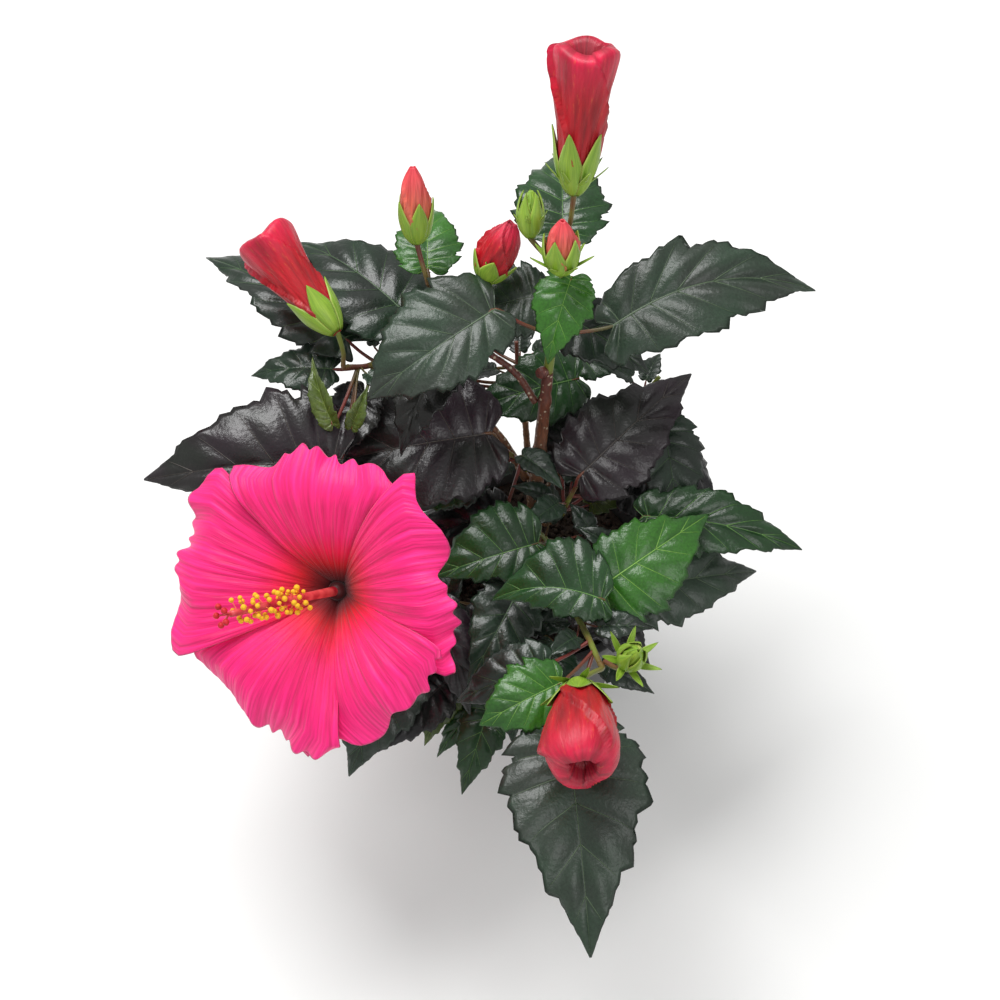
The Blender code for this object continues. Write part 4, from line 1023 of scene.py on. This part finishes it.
def add_column():
    """The open bloom's column with its anthers on threads, which turn on by the golden angle, and its
    red stigmas."""
    level, up, axis = bloom_frame()
    points = [(0, 0, -BLOOM_DEPTH)] + COLUMN
    path = smooth_path([BLOOM_THROAT + x * level + y * up + z * axis for x, y, z in points], COLUMN_POINTS)
    column, stigma, anthers, threads = Heap(), Heap(), Heap(), Heap()
    column.add(rings(path, np.linspace(*COLUMN_RADII, COLUMN_POINTS) * COLUMN_SWELL, 14))
    end = path[-1]
    ahead = unit(end - path[-3])
    side, over = across(ahead)
    for k in range(STIGMAS):
        out = spoke(side, over, 2 * math.pi * (k + 0.2) / STIGMAS)
        tip = end + ahead * STIGMA_AHEAD + out * STIGMA_OUT
        branch = smooth_path([end - ahead, end + ahead * 2 + out * 1.2, tip], 8)
        column.add(rings(branch, STIGMA_STALK_RADIUS, 8))
        lump(stigma, tip, STIGMA_RADIUS, 12)
    column.piece("bloom_column", column_finish(), "petal")
    stigma.piece("bloom_stigmas", plain_finish("stigma_red", *PLAIN["stigma_red"]), "petal")
    draw = np.random.default_rng(SEED + 2)
    for k in range(ANTHERS):
        at = path[int(between(ANTHER_SPAN, k / ANTHERS) * (COLUMN_POINTS - 1))]
        out = spoke(side, over, k * GOLDEN_SHARE * 2 * math.pi)
        tip = at + out * draw.uniform(*THREAD_OUT) + ahead * draw.uniform(*THREAD_AHEAD)
        threads.add(rings(smooth_path([at, at + out * 2 + ahead * 0.3, tip], 6), THREAD_RADIUS, 5))
        lump(anthers, tip, draw.uniform(*ANTHER_RADIUS), 8)
    anthers.piece("bloom_anthers", plain_finish("pollen", *PLAIN["pollen"]), "petal")
    threads.piece("bloom_threads", plain_finish("thread", *PLAIN["thread"]), "petal")


def fine_profile(pairs):
    """A smooth profile through pairs of height and radius, as many points."""
    return smooth_path([(high, radius, 0) for high, radius in pairs], PROFILE_POINTS)


def add_buds():
    """The eight buds and the open bloom's calyx: furled petals, sepals, bracts and stalks."""
    red, pink, green, stalks = Heap(), Heap(), Heap(), Heap()
    step = np.arange(BUD_STALK_RINGS)
    knobs = 1 + 0.35 * np.exp(-step / 2.5) + 0.45 * np.exp(-(BUD_STALK_RINGS - 1 - step) / 3.5)
    for index, (name, (carrier, seat_share, points, end)) in enumerate(BUDS.items()):
        foot = np.asarray(points[-1], float)
        length = np.linalg.norm(end - foot)
        axis = unit(end - foot)
        shape, scale = BUD_SHAPES[name]
        profile = fine_profile([(t * length, r * scale) for t, r in shape])
        heap = {"red": red, "pink": pink, "green": green}[BUD_TONES[name]]
        wrapped_petals(heap, foot, length, axis, profile, index)
        share, width = SEPALS[name]
        sepal_ring(green, foot, axis, profile, 0.15 * index, share * length, width)
        bract_ring(green, name, foot, axis)
        route = seated(carrier, seat_share, points, STALK_RADIUS) + [foot + axis * 3]
        stalks.add(rings(smooth_path(route, BUD_STALK_RINGS), STALK_RADIUS * knobs, 12))
    axis = bloom_frame()[2]
    foot = BLOOM_THROAT - axis * (BLOOM_DEPTH + OPEN_CALYX_DEPTH)
    route = seated(*BLOOM_STALK, BLOOM_STALK_RADIUS) + [foot - axis * 2, foot + axis]
    stalks.add(rings(smooth_path(route, 40), BLOOM_STALK_RADIUS, 12))
    sepal_ring(green, foot, axis, fine_profile(OPEN_CALYX), 0, OPEN_CALYX[-1][0], 1.0)
    bract_ring(green, "bloom_open", foot - axis * 2, axis)
    red.piece("bud_petals", bud_finish(), "bud", list(BUDS))
    pink.piece("shut_bud_petals", streaked_finish("shut_bud"), "bud")
    green.piece("sepals_and_bracts", streaked_finish("lime_sepal"), "bud")
    stalks.piece("bud_stalks", patchy_finish("young_shoot"), "bud")


def wrapped_petals(heap, foot, length, axis, profile, index):
    """A bud's furled petals: its profile turned once round, with a saw-toothed step for each petal's
    edge that winds round it, two crinkling waves, and a mouth where the petals roll inwards."""
    mouth = [(length * (1 - sunk), profile[-1, 1] * share, 0) for sunk, share in BUD_MOUTH]
    shape = np.concatenate([[(0, 0, 0)], profile, mouth])
    turn = np.linspace(0, 2 * math.pi, BUD_TURNS)[None]
    t = (shape[:, 0] / length)[:, None]
    wind = (PETAL_EDGES * turn / (2 * math.pi) + 1.1 * t + 0.3 * index) % 1
    edge = FURL_STEP * (wind ** 3 - 0.25) * np.clip(t * 4, 0, 1)
    crinkle = sum(high * np.sin(waves * turn + slant * t + own * index)
                  for high, waves, slant, own in CRINKLES)
    crinkle = crinkle * np.clip(t * 3, 0, 1) * np.clip(3 * (1.02 - t), 0.3, 1)
    radius = np.maximum(shape[:, 1][:, None], 0)
    radius = radius * (1 + 0.10 * edge) + (edge * 0.5 + crinkle) * np.minimum(1, radius / 4)
    wavy = 1.6 * np.clip((t - 0.75) * 4, 0, 1) * np.sin(3 * turn + index) * radius / 14
    tall = shape[:, 0][:, None] + wavy
    grid = foot + tall[..., None] * axis + radius[..., None] * spoke(*across(axis), turn)
    u = np.broadcast_to(np.linspace(0, 1, len(shape))[:, None], radius.shape)
    share = np.broadcast_to(turn / (2 * math.pi), radius.shape)
    heap.add(grid, np.stack([u, share], axis=-1), wrap=False)


def sepal_ring(heap, foot, axis, profile, offset, reach, width):
    """The pointed sepals that lie on a bud. Each follows the bud's profile up to its reach, arched across
    by a square, stands off by the fourth power of the share along, and narrows to its tip."""
    u, w = patch(20, 11)
    high = u * reach
    radius = np.interp(high, profile[:, 0], profile[:, 1]) + SEPAL_CLEAR
    radius = radius + SEPAL_ARCH * (1 - w ** 2) + SEPAL_FLARE * u ** 4
    half = math.pi / SEPAL_COUNT * width * np.minimum(1, 1.9 * np.clip(1.01 - u, 0, 1) ** 0.95)
    for k in range(SEPAL_COUNT):
        around = spoke(*across(axis), 2 * math.pi * (k + offset) / SEPAL_COUNT + w * half)
        grid = foot + (high + 0.2)[..., None] * axis + radius[..., None] * around
        plate(heap, grid, around, SEPAL_THICKNESS, u, w)


def bract_ring(heap, name, foot, axis):
    """The narrow leaf-like bracts under a calyx. Each is a blade as wide as half a sine wave is high,
    channelled by the square of its share across and bent up by the square of its share along."""
    count, length, spread = BRACTS[name]
    lean = math.radians(spread)
    u, w = patch(14, 7)
    half = BRACT_HALF_WIDTH * np.sin(math.pi * np.clip(0.16 + 0.84 * u, 0, 1)) ** 0.8
    rise = BRACT_RISE * u ** 2 + BRACT_CHANNEL * w ** 2
    for k in range(count):
        out = spoke(*across(axis), 2 * math.pi * (k + 0.3) / count)
        run = out * math.sin(lean) + axis * math.cos(lean)
        aside = unit(np.cross(run, axis))
        start = foot + axis * BRACT_SEAT + out
        grid = start + (u * length)[..., None] * run + (w * half)[..., None] * aside + rise[..., None] * axis
        plate(heap, grid, axis, BRACT_THICKNESS, u, w)


def add_pot():
    """The pot: a profile with rounded edges turned once round, with drain holes cut through its floor."""
    band = POT_HEIGHT - RIM_HEIGHT
    rim = POT_TOP_RADIUS + RIM_STEP
    wall = pot_wall_radius(band)
    inner = pot_wall_radius(POT_HEIGHT, True)
    corners = [(0, 0), (POT_BASE_RADIUS - 5, 0), (POT_BASE_RADIUS - POT_EDGE, 0),
               (POT_BASE_RADIUS - 0.3, 0.4), (pot_wall_radius(POT_EDGE), POT_EDGE), (wall, band - 0.6),
               (wall + 0.3, band - 0.1), (wall + RIM_STEP - 0.5, band), (wall + RIM_STEP, band + 0.6),
               (rim, POT_HEIGHT - 1.5), (rim - 0.3, POT_HEIGHT - 0.5), (rim - 1.2, POT_HEIGHT),
               (inner + 0.6, POT_HEIGHT), (inner, POT_HEIGHT - 0.8),
               (pot_wall_radius(POT_FLOOR, True), POT_FLOOR), (0, POT_FLOOR)]
    radius, height = np.array(corners, float).T[..., None]
    turns = full_turn(POT_FINE_SIDES)
    shell = Heap()
    shell.add(np.stack([radius * np.cos(turns), radius * np.sin(turns), height + 0 * turns], axis=-1))
    pot = shell.piece("plain_pot", pot_finish(), "pot", ["pot"])
    holes = Heap()
    for turn in full_turn(DRAIN_COUNT):
        middle = DRAIN_RING * np.array((math.cos(turn), math.sin(turn), 0))
        holes.add(rings(middle + [(0, 0, -2), (0, 0, POT_FLOOR + 2)], DRAIN_RADIUS, DRAIN_SIDES))
    drills = holes.piece("drills", pot_finish())
    cut = pot.modifiers.new("drains", "BOOLEAN")
    cut.operation = "DIFFERENCE"
    cut.object = drills
    cut.solver = "EXACT"
    drilled = bpy.data.meshes.new_from_object(pot.evaluated_get(bpy.context.evaluated_depsgraph_get()))
    pot.modifiers.clear()
    pot.data = drilled
    bpy.data.objects.remove(drills)
    drilled.polygons.foreach_set("use_smooth", np.ones(len(drilled.polygons), bool))
    drilled.set_sharp_from_angle(angle=math.radians(SHARP_DEGREES))


def add_soil():
    """The soil: a bumpy cover, three waves added up, down to a flat underside, and crumbs strewn on it."""
    soil = Heap()
    top = pot_wall_radius(SOIL_TOP, True) - SOIL_INSET
    low = pot_wall_radius(POT_FLOOR, True) - SOIL_INSET
    share = np.concatenate([[0], np.linspace(0.02, 1, SOIL_RINGS)])[:, None]
    turns = full_turn(SOIL_TURNS)
    x = top * share * np.cos(turns)
    y = top * share * np.sin(turns)
    bumps = 0.5 * np.sin(0.9 * x) * np.cos(1.1 * y + 1) + 0.4 * np.sin(2.3 * x + 1.7 * y)
    bumps = (bumps + 0.3 * np.cos(3.1 * y - 2.2 * x)) * (share < 0.99) * (share > 0.01)
    cover = np.stack([x, y, SOIL_TOP - SOIL_SINK + bumps], axis=-1)
    floor = np.full(SOIL_TURNS, POT_FLOOR + 0.4)
    foot = [np.stack([radius * np.cos(turns), radius * np.sin(turns), floor], axis=-1) for radius in (low, 0)]
    soil.add(np.concatenate([cover, foot]))
    draw = np.random.default_rng(SEED + 3)
    for _ in range(CRUMBS):
        turn = draw.uniform(0, 2 * math.pi)
        spread = math.sqrt(draw.uniform(0.02, 1))
        size = draw.uniform(*CRUMB_RADIUS)
        spot = np.array((math.cos(turn), math.sin(turn), 0)) * spread * (top - CRUMB_INSET)
        lump(soil, spot + (0, 0, SOIL_TOP - SOIL_SINK + 0.2 * size), size, 6)
    soil.piece("potting_soil", soil_finish(), "soil", ["soil"])


def material(name):
    """A new material and its node tree."""
    made = bpy.data.materials.new(name)
    made.use_nodes = True
    return made, made.node_tree


def feed(tree, socket, value):
    """Links a socket to another one, or gives it a plain number or colour."""
    if hasattr(value, "links"):
        tree.links.new(value, socket)
    else:
        socket.default_value = (*value, 1) if isinstance(value, tuple) else value


def dress(made, color, roughness, relief, strength, distance):
    """Gives a material its colour, roughness and relief, and hands it back."""
    tree = made.node_tree
    shader = tree.nodes["Principled BSDF"]
    feed(tree, shader.inputs["Base Color"], color)
    feed(tree, shader.inputs["Roughness"], roughness)
    bump = tree.nodes.new("ShaderNodeBump")
    bump.inputs["Strength"].default_value = strength
    bump.inputs["Distance"].default_value = distance
    tree.links.new(relief, bump.inputs["Height"])
    tree.links.new(bump.outputs["Normal"], shader.inputs["Normal"])
    return made


def noise(tree, vector, scale, detail=3.0, rough=0.5):
    """The value of a noise at a scale, in waves for each metre of the vector it reads."""
    made = tree.nodes.new("ShaderNodeTexNoise")
    made.inputs["Scale"].default_value = scale
    made.inputs["Detail"].default_value = detail
    made.inputs["Roughness"].default_value = rough
    tree.links.new(vector, made.inputs["Vector"])
    return made.outputs["Fac"]


def ramp(tree, value, stops):
    """A colour by stops (place, colour) along a value. A plain number stands for a grey."""
    made = tree.nodes.new("ShaderNodeValToRGB")
    stops = [(spot, color if isinstance(color, tuple) else (color,) * 3) for spot, color in stops]
    band = made.color_ramp
    for element, (spot, color) in zip(band.elements, (stops[0], stops[-1])):
        element.position = spot
        element.color = (*color, 1)
    for spot, color in stops[1:-1]:
        band.elements.new(spot).color = (*color, 1)
    tree.links.new(value, made.inputs["Fac"])
    return made.outputs["Color"]


def blend(tree, share, first, second, kind="MIX"):
    """Two colours mixed by a share; each is a socket or plain numbers."""
    made = tree.nodes.new("ShaderNodeMix")
    made.data_type = "RGBA"
    made.blend_type = kind
    for index, value in ((0, share), (6, first), (7, second)):
        feed(tree, made.inputs[index], value)
    return made.outputs[2]


def shaded(tree, color, value, stops):
    """A colour multiplied by a ramp along a value."""
    return blend(tree, 1.0, color, ramp(tree, value, stops), "MULTIPLY")


def place(tree, output="Object"):
    """The object's coordinates, or its UV map."""
    return tree.nodes.new("ShaderNodeTexCoord").outputs[output]


def part_of(tree, vector, letter):
    """One of a vector's three parts."""
    made = tree.nodes.new("ShaderNodeSeparateXYZ")
    tree.links.new(vector, made.inputs[0])
    return made.outputs[letter]


def scaled(tree, vector, scale):
    """A vector with each part scaled."""
    made = tree.nodes.new("ShaderNodeMapping")
    made.inputs["Scale"].default_value = scale
    tree.links.new(vector, made.inputs["Vector"])
    return made.outputs["Vector"]


def plain_finish(name, color, roughness, scale, strength):
    """One colour with a little lighter and darker grain, which also gives the relief."""
    made, tree = material(name)
    grain = noise(tree, place(tree), scale)
    dark = tuple(GRAIN_DARK * c for c in color)
    light = tuple(min(1, GRAIN_LIGHT * c) for c in color)
    return dress(made, ramp(tree, grain, [(0.3, dark), (0.7, light)]), roughness, grain, strength, 0.0004)


def leaf_finish(tone):
    """Glossy leaf skin: the tone with a second tint in cloudy patches, and fine cell relief."""
    color, tint, roughness = LEAF_COLORS[tone]
    made, tree = material("leaf_" + tone)
    where = place(tree)
    patches = ramp(tree, noise(tree, where, *LEAF_PATCHES), LEAF_PATCH_STOPS)
    skin = shaded(tree, blend(tree, patches, color, tint), noise(tree, where, *LEAF_GRAIN), LEAF_GRAIN_STOPS)
    return dress(made, skin, roughness, noise(tree, where, *LEAF_CELLS), 0.5, 0.0007)


def vein_finish(tone):
    """Paler ribs in a tint that goes with the leaf."""
    pale = tuple(VEIN_SHARE * c + p for c, p in zip(LEAF_COLORS[tone][0], VEIN_PALE[tone]))
    return plain_finish("vein_" + tone, pale, 0.45, 700, 0.2)


def bark_finish():
    """Red-brown young bark that turns olive low down, with pale pores."""
    made, tree = material("young_bark")
    where = place(tree)
    high = tree.nodes.new("ShaderNodeMapRange")
    high.inputs["From Min"].default_value, high.inputs["From Max"].default_value = BARK_RANGE
    tree.links.new(part_of(tree, where, "Z"), high.inputs["Value"])
    streak = noise(tree, scaled(tree, where, BARK_STRETCH), 1.0, 3)
    hue = shaded(tree, ramp(tree, high.outputs["Result"], BARK_STOPS), streak, BARK_TINT)
    pores = tree.nodes.new("ShaderNodeTexVoronoi")
    pores.inputs["Scale"].default_value = PORE_SCALE
    tree.links.new(where, pores.inputs["Vector"])
    skin = blend(tree, ramp(tree, pores.outputs["Distance"], PORE_STOPS), hue, PORE_COLOR)
    return dress(made, skin, 0.5, streak, 0.4, 0.0006)


def patchy_finish(name):
    """One colour that goes over into another in patches, with fine relief."""
    scale, detail, edges, first, second, roughness = PATCHY[name]
    made, tree = material(name)
    where = place(tree)
    share = ramp(tree, noise(tree, where, scale, detail), [(edges[0], 0), (edges[1], 1)])
    skin = blend(tree, share, first, second)
    return dress(made, skin, roughness, noise(tree, where, *FINE_CELLS), 0.25, 0.0003)


def streaked_finish(name):
    """Colours that run one way over the UV map, under stretched streaks that also give the relief."""
    letter, stops, stretch, detail, rough, tint, roughness, strength, distance = STREAKED[name]
    made, tree = material(name)
    spot = place(tree, "UV")
    streak = noise(tree, scaled(tree, spot, stretch), 1.0, detail, rough)
    skin = shaded(tree, ramp(tree, part_of(tree, spot, letter), stops), streak, tint)
    return dress(made, skin, roughness, streak, strength, distance)


def petal_finish():
    """Hot pink with paler streaks that run out from a dark red throat, and a faint silky sheen."""
    made = streaked_finish("pink_petal")
    shader = made.node_tree.nodes["Principled BSDF"]
    shader.inputs["Specular IOR Level"].default_value = 0.35
    shader.inputs["Sheen Weight"].default_value = 0.15
    return made


def bud_finish():
    """Crimson petals with golden specks in lengthwise streaks and pink at the mouth, darkening to a painted
    shade deep inside the inrolled mouth.
    """
    made, tree = material("crimson_bud")
    spot = place(tree, "UV")
    streak = noise(tree, scaled(tree, spot, BUD_STRETCH), 1.0, 5, 0.7)
    gold = ramp(tree, streak, GOLD_STOPS)
    skin = blend(tree, gold, ramp(tree, part_of(tree, spot, "X"), BUD_STOPS), BUD_GOLD)
    skin = shaded(tree, skin, noise(tree, scaled(tree, spot, SHADE_STRETCH), 1.0, 3), BUD_SHADE)
    return dress(made, skin, 0.45, streak, 0.5, 0.0008)


def column_finish():
    """The column: deep red that pales to pink."""
    made, tree = material("column")
    grain = noise(tree, place(tree), *COLUMN_GRAIN)
    return dress(made, ramp(tree, grain, COLUMN_STOPS), 0.45, grain, 0.2, 0.0004)


def pot_finish():
    """Plain dark moulded plastic with a fine pebbled skin and dull scuffs."""
    made, tree = material("moulded_pot")
    where = place(tree)
    cloud = noise(tree, where, *POT_SCUFFS)
    dull = ramp(tree, cloud, POT_DULL)
    return dress(made, ramp(tree, cloud, POT_STOPS), dull, noise(tree, where, *POT_PEBBLES), 0.25, 0.0003)


def soil_finish():
    """Dark potting soil with paler fibres."""
    made, tree = material("potting_soil")
    where = place(tree)
    skin = ramp(tree, noise(tree, where, *SOIL_GRAIN), SOIL_STOPS)
    return dress(made, skin, 0.95, noise(tree, where, *SOIL_FIBRES), 0.9, 0.0015)


def add_stage():
    """The plain pale floor, the soft lights and the camera, which looks down as the photo does."""
    scene = bpy.context.scene
    mesh = bpy.data.meshes.new("floor")
    corners = [(FLOOR * x, FLOOR * y, FLOOR_LEVEL) for x, y in ((-1, -1), (1, -1), (1, 1), (-1, 1))]
    mesh.from_pydata(corners, [], [(0, 1, 2, 3)])
    floor = bpy.data.objects.new("floor", mesh)
    scene.collection.objects.link(floor)
    made, tree = material("pale_floor")
    shader = tree.nodes["Principled BSDF"]
    feed(tree, shader.inputs["Base Color"], FLOOR_COLOR)
    feed(tree, shader.inputs["Roughness"], 0.9)
    mesh.materials.append(made)
    world = bpy.data.worlds.new("studio")
    world.use_nodes = True
    sky = world.node_tree.nodes["Background"]
    sky.inputs["Color"].default_value = (1, 1, 1, 1)
    sky.inputs["Strength"].default_value = WORLD_STRENGTH
    scene.world = world
    for name, spot, energy, size in LIGHTS:
        lamp = bpy.data.lights.new(name, "AREA")
        lamp.energy = energy
        lamp.size = size
        thing = bpy.data.objects.new(name, lamp)
        thing.location = spot
        aim = Vector(LIGHT_TARGET) - Vector(spot)
        thing.rotation_euler = aim.to_track_quat("-Z", "Y").to_euler()
        scene.collection.objects.link(thing)
    lens = bpy.data.cameras.new("camera")
    lens.sensor_width = SENSOR
    lens.lens = FOCAL_PIXELS / PICTURE_WIDTH * SENSOR
    eye = bpy.data.objects.new("camera", lens)
    tilt = math.radians(CAMERA_ELEVATION)
    eye.location = Vector(CAMERA_TARGET) + CAMERA_DISTANCE * Vector((0, -math.cos(tilt), math.sin(tilt)))
    eye.rotation_euler = (math.pi / 2 - tilt, 0, 0)
    scene.collection.objects.link(eye)
    scene.camera = eye
    scene.view_settings.view_transform = "Standard"


def main():
    """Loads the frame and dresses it."""
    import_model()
    fill_crown()
    grow_young()
    add_pot()
    add_soil()
    add_stems()
    add_leaves()
    add_petals()
    add_column()
    add_buds()
    add_stage()


main()
